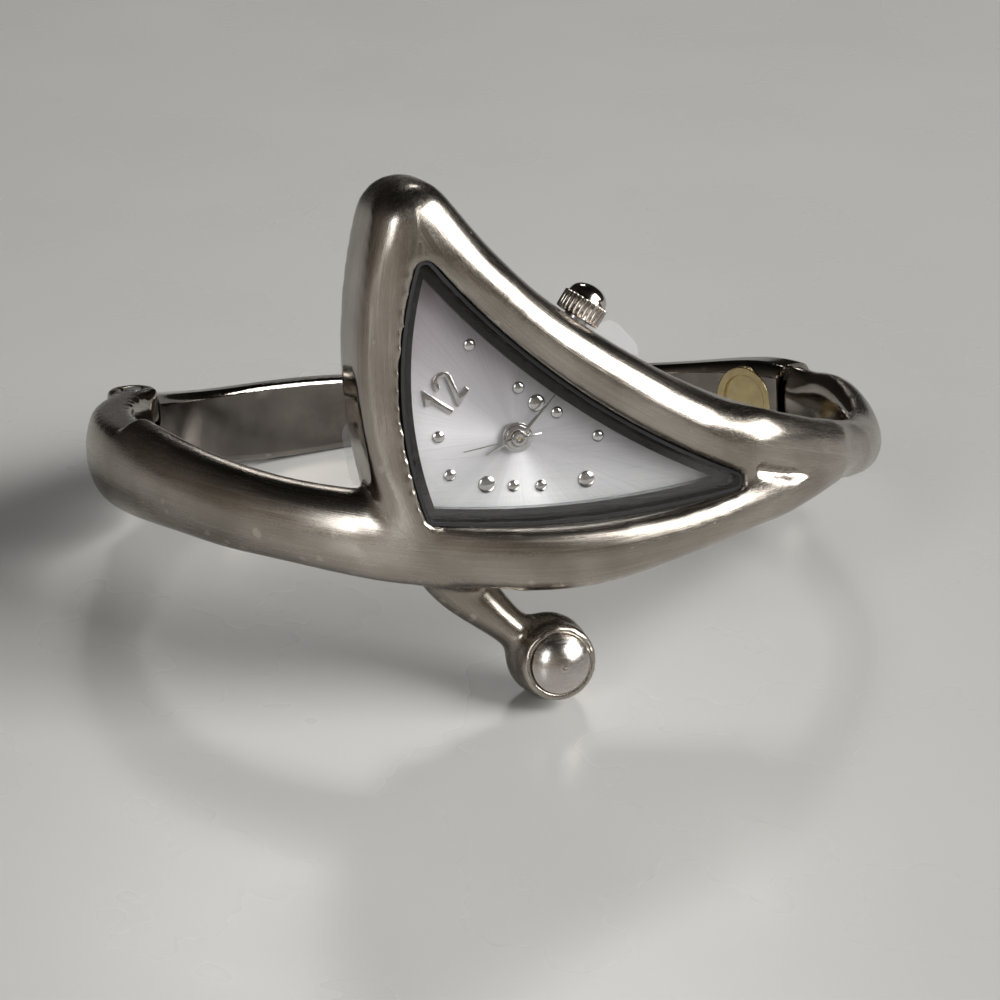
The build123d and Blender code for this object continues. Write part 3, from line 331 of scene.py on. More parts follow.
def brushed_metal(name, light, dark, roughness, line_width, line_length, shade, turn=(0, 0, 0), flow=None,
                  bump=0.2, wear=0.5):
    """Antiqued metal: brushed lines, paler worn edges, darker hollows and a few specks.

    With flow the lines follow that attribute, and the polish and blacked attributes are read too.
    """
    material, s, surface = start_material(name, metallic=1.0)
    place = millimetres(s)
    if flow:
        pattern = s.add("ShaderNodeAttribute", attribute_name=flow).outputs["Vector"]
    else:
        pattern = millimetres(s, turn=turn)
    grain = group(s, GRAIN, Vector=pattern, Line_Width=line_width, Line_Length=line_length,
                  Shade_Depth=shade)
    worn = group(s, WEAR, Vector=place, Edge=0.56, Softness=0.06, Breakup_Size=1.5)
    dust = group(s, DUST, Vector=place, Speck_Size=0.8, Amount=0.03, Smudge_Size=7.0)
    smudge = s.ramp(dust["Smudge"], [(0.35, 0.0), (0.65, 1.0)])
    tone = s.mix(smudge, shaded(dark, 1), shaded(light, 1))
    tone = s.mix(1.0, tone, s.even(grain["Shade"]), "MULTIPLY")
    tone = s.mix(s.math("MULTIPLY", worn["Hollow"], 0.7), tone, shaded(dark, 0.25))
    tone = s.mix(s.math("MULTIPLY", worn["Wear"], wear), tone, shaded(light, 1.8))
    s.set(surface.inputs["Base Color"], tone)
    swing = s.math("SUBTRACT", grain["Height"], GRAIN_MEAN)
    rough = s.math("ADD", roughness, s.math("MULTIPLY", swing, 0.25))
    rough = s.math("ADD", rough, s.math("MULTIPLY", dust["Specks"], 0.2))
    rough = s.math("ADD", rough, s.math("MULTIPLY", worn["Hollow"], 0.2), clamp=True)
    strength = bump
    if flow:
        polish = s.add("ShaderNodeAttribute", attribute_name="polish").outputs["Fac"]
        plain = s.math("SUBTRACT", 1.0, polish)
        rough = s.math("MULTIPLY", rough, s.math("ADD", 0.35, s.math("MULTIPLY", plain, 0.65)))
        strength = s.math("MULTIPLY", plain, bump)
        blacked = s.add("ShaderNodeAttribute", attribute_name="blacked").outputs["Fac"]
        s.set(surface.inputs["Base Color"], s.mix(blacked, tone, grey(0.012)))
    s.set(surface.inputs["Roughness"], rough)
    s.set(surface.inputs["Normal"], s.bump(grain["Height"], strength, 0.02 * MM))
    return material


TOOL_MARK_SIZE = 0.05


def machined_metal(name, colour, roughness):
    """Small machined parts: fine tool marks and a soft smear."""
    material, s, surface = start_material(name, metallic=1.0)
    place = millimetres(s)
    marks = s.noise(place, 1 / TOOL_MARK_SIZE, detail=2.0)
    smear = s.noise(place, 0.8, detail=3.0)
    tone = s.mix(s.ramp(smear, [(0.3, 0.0), (0.7, 1.0)]), shaded(colour, 0.8), shaded(colour, 1))
    s.set(surface.inputs["Base Color"], tone)
    s.set(surface.inputs["Roughness"], s.math("ADD", roughness, s.math("MULTIPLY", marks, 0.12)))
    s.set(surface.inputs["Normal"], s.bump(marks, 0.1, 0.01 * MM))
    return material


MOULD_GRAIN_SIZE = 0.2


def moulded(name, colour, roughness, bump=0.15):
    """Plastic, rubber and lacquer: fine mould grain and broad, slightly darker patches."""
    material, s, surface = start_material(name)
    place = millimetres(s)
    fine = s.noise(place, 1 / MOULD_GRAIN_SIZE, detail=3.0)
    broad = s.noise(place, 0.5, detail=2.0)
    tone = s.mix(s.ramp(broad, [(0.3, 0.0), (0.7, 1.0)]), shaded(colour, 0.85), shaded(colour, 1))
    s.set(surface.inputs["Base Color"], tone)
    s.set(surface.inputs["Roughness"], s.math("ADD", roughness, s.math("MULTIPLY", fine, 0.15)))
    s.set(surface.inputs["Normal"], s.bump(fine, bump, 0.01 * MM))
    return material


def dial_metal():
    """Silvered plate with a sunray brush about the hands' axis, its colour carrying painted highlights and
    painted shade.
    """
    material, s, surface = start_material("silvered_sunray", metallic=0.62)
    place = millimetres(s, origin=DIAL.translation, turn=DIAL.to_euler("XYZ"))
    # Painted highlights: two sectors brighter towards about half past seven and eleven o'clock, for the light
    # that the sunray brushing catches
    rays = group(s, SUNRAY, Vector=place, Fine_Rays=48.0, Broad_Rays=2.1,
                 Glow_Direction=Vector((-0.72, -0.69, 0)), Glow_Narrowness=7.0)
    second = group(s, SUNRAY, Vector=place, Fine_Rays=30.0, Broad_Rays=2.1,
                   Glow_Direction=Vector((-0.45, 0.89, 0)), Glow_Narrowness=9.0)
    dust = group(s, DUST, Vector=place, Speck_Size=0.35, Amount=0.04, Smudge_Size=5.0)
    fine = s.ramp(rays["Fine"], [(0.3, 0.84), (0.7, 1.0)])
    painted_highlight = s.math("MAXIMUM", rays["Glow"], s.math("MULTIPLY", second["Glow"], 0.75))
    level = s.math("ADD", s.math("MULTIPLY", painted_highlight, 0.42), s.math("MULTIPLY", rays["Broad"], 0.25))
    level = s.math("ADD", level, 0.42, clamp=True)
    # Painted shade: the colour turns darker and mauve towards 3 and 12 o'clock
    side = s.add("ShaderNodeSeparateXYZ", {0: place})
    far = s.math("ADD", s.math("MULTIPLY", side.outputs["X"], 0.05),
                 s.math("MULTIPLY", side.outputs["Y"], 0.03))
    painted_shade = s.mix(s.math("ADD", 0.35, far, clamp=True), (0.92, 0.93, 0.94, 1), (0.66, 0.60, 0.64, 1))
    tone = s.mix(1.0, s.mix(1.0, fine, s.even(level), "MULTIPLY"), painted_shade, "MULTIPLY")
    specks = s.math("MULTIPLY", dust["Specks"], 0.4)
    s.set(surface.inputs["Base Color"], s.mix(specks, tone, grey(0.25)))
    s.set(surface.inputs["Roughness"], s.math("ADD", 0.30, s.math("MULTIPLY", rays["Fine"], 0.14)))
    s.set(surface.inputs["Normal"], s.bump(rays["Fine"], 0.3, 0.01 * MM))
    return material


def crystal_glass():
    """Clear flat crystal. Shadow rays pass, so the dial under it is lit."""
    material, s, surface = start_material("crystal_glass", roughness=0.0, Transmission_Weight=1.0, IOR=1.5)
    place = millimetres(s)
    smear = s.noise(place, 0.35, detail=3.0)
    smudge = s.ramp(smear, [(0.5, 0.0), (0.8, 1.0)])
    s.set(surface.inputs["Roughness"], s.math("MULTIPLY", smudge, 0.04))
    s.set(surface.inputs["Base Color"], s.mix(smear, (0.97, 0.98, 0.99, 1), (1.0, 1.0, 1.0, 1)))
    clear = s.add("ShaderNodeBsdfTransparent")
    shadow = s.add("ShaderNodeLightPath").outputs["Is Shadow Ray"]
    mixed = s.add("ShaderNodeMixShader", {0: shadow, 1: surface.outputs[0], 2: clear.outputs[0]})
    output = next(node for node in s.tree.nodes if node.type == "OUTPUT_MATERIAL")
    s.set(output.inputs["Surface"], mixed.outputs[0])
    return material


def clear_film():
    """Thin protective film with soft wrinkles."""
    material, s, surface = start_material("clear_film", roughness=0.12, IOR=1.45)
    place = millimetres(s)
    wrinkle = s.noise(place, 0.25, detail=4.0, roughness=0.6)
    s.set(surface.inputs["Base Color"], s.mix(wrinkle, (0.78, 0.84, 0.88, 1), (0.95, 0.97, 1.0, 1)))
    s.set(surface.inputs["Alpha"], s.math("ADD", 0.05, s.math("MULTIPLY", wrinkle, 0.12)))
    s.set(surface.inputs["Normal"], s.bump(wrinkle, 0.35, 0.2 * MM))
    return material


def board_material():
    """Coated board with etched copper runs."""
    material, s, surface = start_material("circuit_coating", roughness=0.35)
    place = millimetres(s)
    runs = s.add("ShaderNodeTexBrick", {"Vector": place, "Scale": 1.4, "Color1": (0.20, 0.12, 0.04, 1),
                                        "Color2": (0.27, 0.17, 0.06, 1), "Mortar": (0.75, 0.45, 0.2, 1),
                                        "Mortar Size": 0.03})
    fine = s.noise(place, 4.0)
    s.set(surface.inputs["Base Color"], runs.outputs["Color"])
    s.set(surface.inputs["Roughness"], s.math("ADD", 0.3, s.math("MULTIPLY", fine, 0.2)))
    s.set(surface.inputs["Normal"], s.bump(runs.outputs["Fac"], 0.4, 0.02 * MM))
    return material


def wound_copper():
    """Fine wire turns along the coil."""
    material, s, surface = start_material("wound_copper", metallic=0.9)
    place = millimetres(s, turn=DIAL.to_euler("XYZ"))
    turns = s.add("ShaderNodeTexWave", {"Vector": place, "Scale": 5.0, "Distortion": 0.3, "Detail": 1.0},
                  wave_type="BANDS", bands_direction="X")
    crest = turns.outputs["Fac"]
    s.set(surface.inputs["Base Color"], s.mix(crest, (0.32, 0.10, 0.03, 1), (0.80, 0.36, 0.16, 1)))
    s.set(surface.inputs["Roughness"], s.math("ADD", 0.3, s.math("MULTIPLY", crest, 0.1)))
    s.set(surface.inputs["Normal"], s.bump(crest, 0.5, 0.04 * MM))
    return material


CAST = brushed_metal("antiqued_cast", (0.47, 0.43, 0.385), (0.32, 0.29, 0.25), 0.25, 0.10, 7.0, 0.5,
                     flow="arm_flow", bump=0.4, wear=0.3)
# The rear band is the casting's metal with darker colours as painted shade, and smoother
SHADED_BAND_METAL = brushed_metal("antiqued_band_painted_shade", (0.30, 0.275, 0.25), (0.17, 0.155, 0.14), 0.10, 0.12, 9.0, 0.14,
                           turn=(0, 0, math.radians(90)), bump=0.08)
STUD_METAL = brushed_metal("brushed_stud", (0.60, 0.565, 0.53), (0.50, 0.47, 0.44), 0.24, 0.06, 5.0, 0.35)
MARK_METAL = machined_metal("polished_marks", (0.80, 0.79, 0.78), 0.06)
CROWN_METAL = machined_metal("polished_nickel", (0.66, 0.61, 0.56), 0.07)
STEEL = machined_metal("machined_steel", (0.58, 0.58, 0.59), 0.22)
BRASS = machined_metal("polished_brass", (0.80, 0.66, 0.36), 0.2)
PLATE_BRASS = machined_metal("plate_brass", (0.70, 0.57, 0.33), 0.3)
RING_BLACK = moulded("black_lacquer", (0.010, 0.010, 0.011), 0.10, bump=0.04)
RUBBER = moulded("black_rubber", (0.012, 0.012, 0.013), 0.5)
HOLDER = moulded("moulded_holder", (0.72, 0.72, 0.70), 0.45)
CHIP = moulded("potted_chip", (0.015, 0.015, 0.017), 0.2, bump=0.05)

FINISHES = {
    "cast_metal": CAST, "band_metal": SHADED_BAND_METAL, "stud_metal": STUD_METAL, "crystal": crystal_glass(),
    "black_rubber": RUBBER, "ring_metal": RING_BLACK, "dial_silver": dial_metal(), "mark_silver": MARK_METAL,
    "holder_plastic": HOLDER, "plate_brass": PLATE_BRASS, "wheel_brass": BRASS, "steel": STEEL,
    "copper_wire": wound_copper(), "cell_steel": STEEL, "board_plastic": board_material(), "chip_black": CHIP,
    "crown_nickel": CROWN_METAL, "film_clear": clear_film(), "cup_brass": BRASS,
}


def dress_nodes():
    """Every CAD node gets the finish of its material slot."""
    for part in frame["record"]["subparts"]:
        obj = nodes[part["node"]]
        obj.data.materials.clear()
        obj.data.materials.append(FINISHES[part["material_slot"]])


dress_nodes()


def add_mesh(name, vertices, faces, material):
    mesh = bpy.data.meshes.new(name)
    mesh.from_pydata(vertices, [], faces)
    mesh.materials.append(material)
    obj = bpy.data.objects.new(name, mesh)
    bpy.context.scene.collection.objects.link(obj)
    return obj


def merged_copy(name, node):
    """New object with a copy of a CAD node's mesh, its doubles merged."""
    shape = bmesh.new()
    shape.from_mesh(nodes[node].data)
    bmesh.ops.remove_doubles(shape, verts=shape.verts, dist=0.001 * MM)
    obj = add_mesh(name, [], [], nodes[node].data.materials[0])
    shape.to_mesh(obj.data)
    shape.free()
    return obj


def finish_modifiers(obj):
    """Turns the object's modifiers into its own mesh."""
    result = bpy.data.meshes.new_from_object(obj.evaluated_get(bpy.context.evaluated_depsgraph_get()))
    obj.modifiers.clear()
    obj.data = result
    result.name = obj.name
    return obj


def stand_in(obj, node):
    """The finished piece rides on its node's body and is shown in its place."""
    for face in obj.data.polygons:
        face.use_smooth = True
    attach(obj, body_of(nodes[node])[0])
    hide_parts(node)


# Front casting: the arms melt into each other, and the brushing follows them. Sizes in millimetres.
CAST_VOXEL = 0.27
# Surfaces nearer to other pieces than the first stay, and those beyond the second may move
KEPT_DISTANCE = 0.45
FREE_DISTANCE = 1.5
# Passes of smoothing: over all, over the free surface, and where forms run together
EVEN_PASSES = 9
FREE_PASSES = 6
MELTING_PASSES = 70
MELTING_CORE = 0.45
# The brushing follows lines cut into steps and smoothed, each arm with its own stretch of the pattern
LINE_STEP = 0.5
LINE_SMOOTHING = 13
ARM_SPACING = 100
# The polished left wall of the case: how far it faces left, and from which height and depth
WALL_FACING = (0.86, 0.95)
WALL_RISE = (4, 8)
WALL_DEPTH = -15
# The polished inside of the band: how far it faces the wrist
INSIDE_FACING = (4.0, 14.0)
INSIDE_POLISH = 0.9
# The ledge round the crystal that shows dark
LEDGE_DEPTH = -26.7
LEDGE_REACH = 0.5


def plan_place(angle, height):
    """Point on the outside of the band at one plan angle."""
    a = math.radians(angle)
    depth = FRONT_DEPTH if math.sin(a) < 0 else REAR_DEPTH
    return (HALF_WIDTH * math.cos(a), depth * math.sin(a), height)


# Middle lines of the arms, as points in the band's frame
ARM_LINES = (
    # Lower band
    [plan_place(*place) for place in (
        (140, 6.4), (160, 7.0), (180, 7.9), (205, 7.3), (225, 5.8), (240, 4.7), (255, 3.6), (270, 3.1),
        (284, 3.9), (298, 5.4), (314, 6.0), (328, 6.2))],
    # Upper arm, from the peak to the tail
    [(-13.2, -28.2, 32.5), (-12.2, -28.4, 29.7), (-9.5, -28.4, 26.0), (-5.4, -28.4, 21.7),
     (-0.7, -28.4, 17.8), (4.8, -28.4, 14.1), (10.0, -28.4, 11.2)]
    + [plan_place(*place) for place in (
        (-65, 10.0), (-56, 8.6), (-46, 7.2), (-34, 6.0), (-20, 5.3), (-8, 5.7), (4, 5.9), (20, 5.9))],
    # Left arm
    [(-13.6, -27.5, 33.0), (-15.4, -26.8, 26.0), (-15.9, -26.5, 18.0), (-15.2, -26.5, 10.0),
     (-13.2, -26.5, 4.5)],
    # Curled arm
    [(-12.6, -25.5, 4.5), (-9.1, -25.4, -0.2), (-7.3, -25.6, -2.2), (-5.9, -25.9, -3.5),
     (-4.4, -26.1, -4.9), (-3.0, -26.2, -5.9)],
)
# Places where one form runs into the next, with a radius
MELTING_PLACES = (((-8.5, -27.5, 29.0), 6.0), ((-13.5, -27.0, 34.0), 5.0), ((18.5, -25.0, 8.0), 6.5),
                  ((14.0, -27.5, 4.5), 4.0), ((-14.0, -26.5, 5.0), 5.0), ((-9.0, -27.0, 0.5), 3.0),
                  ((26.0, -20.5, 6.0), 4.0))

# Crease between the arms beside the crystal's tip: its line, depth, half width and how it narrows
CREASE = ((14.2, -27.8, 7.9), (15.4, -27.2, 7.5), (17.0, -26.5, 7.0), (18.4, -25.8, 6.5),
          (19.8, -25.0, 6.1))
CREASE_POINTS = 60
CREASE_DEPTH = 0.6
CREASE_WIDTH = 0.5
CREASE_NARROWING = 4.0


def sampled_line(points):
    """Evenly spaced points, tangents and lengths along a line."""
    points = np.array(points)
    run = np.concatenate([[0], np.cumsum(np.linalg.norm(np.diff(points, axis=0), axis=1))])
    steps = np.arange(0, run[-1], LINE_STEP)
    line = np.stack([np.interp(steps, run, points[:, k]) for k in range(3)], axis=1)
    window = np.ones(LINE_SMOOTHING) / LINE_SMOOTHING
    beyond = LINE_SMOOTHING // 2
    padded = np.pad(line, ((beyond, beyond), (0, 0)), mode="reflect", reflect_type="odd")
    line = np.stack([np.convolve(padded[:, k], window, mode="valid") for k in range(3)], axis=1)
    tangent = np.gradient(line, axis=0)
    return line, tangent / np.linalg.norm(tangent, axis=1)[:, None], steps


def arm_flow(places):
    """Distance along, across and out of the nearest arm, for points in the band's frame."""
    flow = np.zeros_like(places)
    best = np.full(len(places), np.inf)
    for number, points in enumerate(ARM_LINES):
        line, tangent, steps = sampled_line(points)
        outward = line * (1, 1, 0)
        outward = outward / np.linalg.norm(outward, axis=1)[:, None]
        across = np.cross(tangent, outward)
        across = across / np.linalg.norm(across, axis=1)[:, None]
        near = np.full(len(places), np.inf)
        index = np.zeros(len(places), dtype=int)
        for i, point in enumerate(line):
            gap = ((places - point) ** 2).sum(axis=1)
            closer = gap < near
            near[closer] = gap[closer]
            index[closer] = i
        away = places - line[index]
        along = steps[index] + (away * tangent[index]).sum(axis=1) + ARM_SPACING * number
        here = np.stack([along, (away * across[index]).sum(axis=1), (away * outward[index]).sum(axis=1)],
                        axis=1)
        chosen = near < best
        flow[chosen] = here[chosen]
        best[chosen] = near[chosen]
    return flow


def joined_surface(names):
    """Search tree of the surfaces of several CAD nodes."""
    vertices, faces = [], []
    for name in names:
        mesh = nodes[name].data
        start = len(vertices)
        vertices.extend(vertex.co.copy() for vertex in mesh.vertices)
        faces.extend([start + i for i in face.vertices] for face in mesh.polygons)
    return BVHTree.FromPolygons(vertices, faces)


def smooth_step(values, low, high):
    share = np.clip((values - low) / (high - low), 0, 1)
    return share * share * (3 - 2 * share)


def relaxed(points, edges, weight, passes):
    """Points moved towards the mean of their neighbours, by their own weight."""
    first, second = edges[:, 0], edges[:, 1]
    count = np.bincount(edges.ravel(), minlength=len(points))[:, None]
    for _ in range(passes):
        total = np.stack([np.bincount(first, points[second, k], len(points))
                          + np.bincount(second, points[first, k], len(points)) for k in range(3)], axis=1)
        points = points + weight[:, None] * 0.5 * (total / count - points)
    return points


def mesh_values(items, field, width, kind=float):
    """One field of all of a mesh's points or edges, as rows of numbers."""
    values = np.empty(width * len(items), dtype=kind)
    items.foreach_get(field, values)
    return values.reshape(-1, width)


def set_attribute(mesh, name, kind, field, values):
    attribute = mesh.attributes.new(name, kind, "POINT")
    attribute.data.foreach_set(field, np.asarray(values, dtype=np.float32).ravel())


def distance_to(names, points):
    """Distance of each point from the surfaces of some CAD nodes, in millimetres."""
    surface = joined_surface(names)
    return np.array([surface.find_nearest(point)[3] for point in points]) / MM


TO_BAND = np.array(BAND_INVERSE)


def band_places(points):
    """Places in the band's frame, in millimetres."""
    return (points @ TO_BAND[:3, :3].T + TO_BAND[:3, 3]) / MM


def melting_share(places):
    """How far each place belongs to one where forms run together."""
    melting = np.zeros(len(places))
    for centre, radius in MELTING_PLACES:
        distance = np.linalg.norm(places - centre, axis=1)
        melting = np.maximum(melting, 1 - smooth_step(distance, MELTING_CORE * radius, radius))
    return melting


def crease_sink(places):
    """How deep each place sinks into the crease, in millimetres."""
    fold = np.full(len(places), np.inf)
    along = np.linspace(0, len(CREASE) - 1, CREASE_POINTS)
    line = np.array([np.interp(along, range(len(CREASE)), values) for values in zip(*CREASE)]).T
    for number, point in enumerate(line):
        narrowing = 1 + CREASE_NARROWING * max(0.0, number / len(line) - 0.5)
        fold = np.minimum(fold, np.linalg.norm(places - point, axis=1) * narrowing)
    return CREASE_DEPTH * np.exp(-(fold / CREASE_WIDTH) ** 2) * (fold < 4 * CREASE_WIDTH)


def mark_finishes(mesh, points):
    """Attributes that the casting's material reads: brushing, polish and the dark ledge."""
    normals = mesh_values(mesh.vertices, "normal", 3) @ TO_BAND[:3, :3].T
    places = band_places(points)
    wall = smooth_step(-normals[:, 0], *WALL_FACING) * smooth_step(places[:, 2], *WALL_RISE)
    wall = wall * (places[:, 1] < WALL_DEPTH)
    inside = smooth_step(-(normals[:, :2] * places[:, :2]).sum(axis=1), *INSIDE_FACING)
    near_glass = distance_to(["crystal", "dial_ring"], points)
    ledge = (near_glass < LEDGE_REACH) * (places[:, 1] > LEDGE_DEPTH)
    set_attribute(mesh, "arm_flow", "FLOAT_VECTOR", "vector", arm_flow(places))
    set_attribute(mesh, "polish", "FLOAT", "value", np.maximum(wall, inside * INSIDE_POLISH))
    set_attribute(mesh, "blacked", "FLOAT", "value", ledge)


def build_casting():
    """One skin over the casting's solid, smoothed where nothing sits on it, with its crease."""
    obj = merged_copy("casting_blended", "front_casting")
    obj.data.transform(Matrix.Scale(1 / MM, 4))
    remesh = obj.modifiers.new("skin", "REMESH")
    remesh.mode = "VOXEL"
    remesh.voxel_size = CAST_VOXEL
    remesh.use_smooth_shade = True
    finish_modifiers(obj)
    obj.data.transform(Matrix.Scale(MM, 4))
    mesh = obj.data
    edges = mesh_values(mesh.edges, "vertices", 2, np.int64)
    points = mesh_values(mesh.vertices, "co", 3)
    gap = distance_to(["crystal", "crystal_gasket", "dial_ring", "dial", "movement_holder", "case_back",
                       "case_back_gasket", "back_screws", "crown_tube", "hinge_pin", "rear_band",
                       "catch_tongue", "end_stud"], points)
    free = smooth_step(gap, KEPT_DISTANCE, FREE_DISTANCE)
    places = band_places(points)
    points = relaxed(points, edges, np.ones(len(points)), EVEN_PASSES)
    points = relaxed(points, edges, free, FREE_PASSES)
    points = relaxed(points, edges, free * melting_share(places), MELTING_PASSES)
    inward = -places * (1, 1, 0) / np.linalg.norm(places[:, :2], axis=1)[:, None]
    sink = free * crease_sink(places) * MM
    points = points + sink[:, None] * (inward @ TO_BAND[:3, :3])
    mesh.vertices.foreach_set("co", points.ravel())
    mesh.update()
    mark_finishes(mesh, points)
    stand_in(obj, "front_casting")


build_casting()


def soften_edges(node, width):
    """Shows a small node with its edges rounded."""
    obj = merged_copy(node + "_polished", node)
    bevel = obj.modifiers.new("edge", "BEVEL")
    bevel.width = width * MM
    bevel.segments = 3
    bevel.limit_method = "ANGLE"
    bevel.angle_limit = math.radians(35)
    stand_in(finish_modifiers(obj), node)


soften_edges("numeral_12", 0.06)
soften_edges("hour_hand", 0.04)
soften_edges("minute_hand", 0.04)
soften_edges("second_hand", 0.03)


def geometry_tree(name, inputs):
    """Geometry node tree with named inputs beside the mesh. Returns its Shader, input and output."""
    tree = bpy.data.node_groups.new(name, "GeometryNodeTree")
    tree.interface.new_socket("Geometry", in_out="INPUT", socket_type="NodeSocketGeometry")
    for label, kind in inputs:
        tree.interface.new_socket(label, in_out="INPUT", socket_type=kind)
    tree.interface.new_socket("Geometry", in_out="OUTPUT", socket_type="NodeSocketGeometry")
    g = Shader(tree)
    return g, g.add("NodeGroupInput"), g.add("NodeGroupOutput")


def grow(obj, g, values):
    """Runs a geometry tree on the object with the given inputs, and keeps the result as its mesh."""
    modifier = obj.modifiers.new("grow", "NODES")
    modifier.node_group = g.tree
    for item in g.tree.interface.items_tree:
        if item.in_out == "INPUT" and item.name in values:
            modifier[item.identifier] = values[item.name]
    return finish_modifiers(obj)


def islands(mesh):
    """Lowest and highest corners of each separate solid of a mesh, in the dial's frame."""
    shape = bmesh.new()
    shape.from_mesh(mesh)
    bmesh.ops.remove_doubles(shape, verts=shape.verts, dist=0.001 * MM)
    into = DIAL.inverted()
    left = set(shape.verts)
    found = []
    while left:
        stack = [left.pop()]
        piece = []
        while stack:
            vertex = stack.pop()
            piece.append(into @ vertex.co)
            for edge in vertex.link_edges:
                other = edge.other_vert(vertex)
                if other in left:
                    left.remove(other)
                    stack.append(other)
        found.append(tuple(Vector(pick(point[k] for point in piece) for k in range(3))
                           for pick in (min, max)))
    shape.free()
    return sorted(found, key=lambda corners: tuple(corners[0]))


def build_hour_dots():
    """Polished beads on the dial, one on each mark."""
    marks = islands(nodes["hour_dots"].data)
    feet = [((low.x + high.x) / 2, (low.y + high.y) / 2, low.z) for low, high in marks]
    sizes = [((high.x - low.x) / 2, (high.y - low.y) / 2, high.z - low.z) for low, high in marks]
    obj = add_mesh("hour_dots_polished", feet, [], MARK_METAL)
    set_attribute(obj.data, "bead_size", "FLOAT_VECTOR", "vector", sizes)
    g, i, o = geometry_tree("beads_on_marks", [
        ("Segments", "NodeSocketInt"), ("Rings", "NodeSocketInt"), ("Finish", "NodeSocketMaterial")])
    ball = g.add("GeometryNodeMeshUVSphere", {
        "Segments": i.outputs["Segments"], "Rings": i.outputs["Rings"], "Radius": 1.0})
    spot = g.add("ShaderNodeSeparateXYZ", {0: g.add("GeometryNodeInputPosition").outputs[0]})
    flat = g.add("ShaderNodeCombineXYZ", {"X": spot.outputs["X"], "Y": spot.outputs["Y"],
                                          "Z": g.math("MAXIMUM", spot.outputs["Z"], 0.0)})
    bead = g.add("GeometryNodeSetPosition", {"Geometry": ball.outputs["Mesh"], "Position": flat.outputs[0]})
    size = g.add("GeometryNodeInputNamedAttribute", {"Name": "bead_size"}, data_type="FLOAT_VECTOR")
    beads = g.add("GeometryNodeInstanceOnPoints", {"Points": i.outputs["Geometry"],
                                                   "Instance": bead.outputs["Geometry"],
                                                   "Scale": size.outputs["Attribute"]})
    solid = g.add("GeometryNodeRealizeInstances", {"Geometry": beads.outputs["Instances"]})
    shown = g.add("GeometryNodeSetMaterial", {"Geometry": solid.outputs["Geometry"],
                                              "Material": i.outputs["Finish"]})
    g.set(o.inputs["Geometry"], shown.outputs["Geometry"])
    grow(obj, g, {"Segments": 32, "Rings": 20, "Finish": MARK_METAL})
    obj.data.transform(DIAL)
    stand_in(obj, "hour_dots")


build_hour_dots()


def lathe(profile, steps):
    """Closed body of revolution about Z, from (radius, level) points that start and end on the axis."""
    vertices = [(0, 0, profile[0][1])]
    for radius, level in profile[1:-1]:
        for k in range(steps):
            a = 2 * math.pi * k / steps
            vertices.append((radius * math.cos(a), radius * math.sin(a), level))
    vertices.append((0, 0, profile[-1][1]))
    last = len(vertices) - 1
    faces = [(0, 1 + (k + 1) % steps, 1 + k) for k in range(steps)]
    for row in range(len(profile) - 3):
        low, high = 1 + row * steps, 1 + (row + 1) * steps
        faces += [(low + k, low + (k + 1) % steps, high + (k + 1) % steps, high + k) for k in range(steps)]
    top = last - steps
    faces += [(top + k, top + (k + 1) % steps, last) for k in range(steps)]
    return vertices, faces


def crown_frame():
    """Matrix of the crown, with Z outwards from its inner end, and its length in millimetres."""
    joint = joints["crown_turn"]
    axis = Vector(joint["axis"]).normalized()
    pivot = Vector(joint["pos_m"])
    levels = [(vertex.co - pivot).dot(axis) for vertex in nodes["crown"].data.vertices]
    turn = axis.to_track_quat("Z", "Y").to_matrix().to_4x4()
    return Matrix.Translation(pivot + axis * min(levels)) @ turn, (max(levels) - min(levels)) / MM


CROWN_RADIUS = 1.88
CROWN_SKIRT = 1.7
CROWN_STEPS = 72
DOME_SHARE = 0.93
CROWN_RIBS = 26
RIB_RADIUS = 0.16
RIB_INSET = 0.06
RIB_SHORTER = 0.16


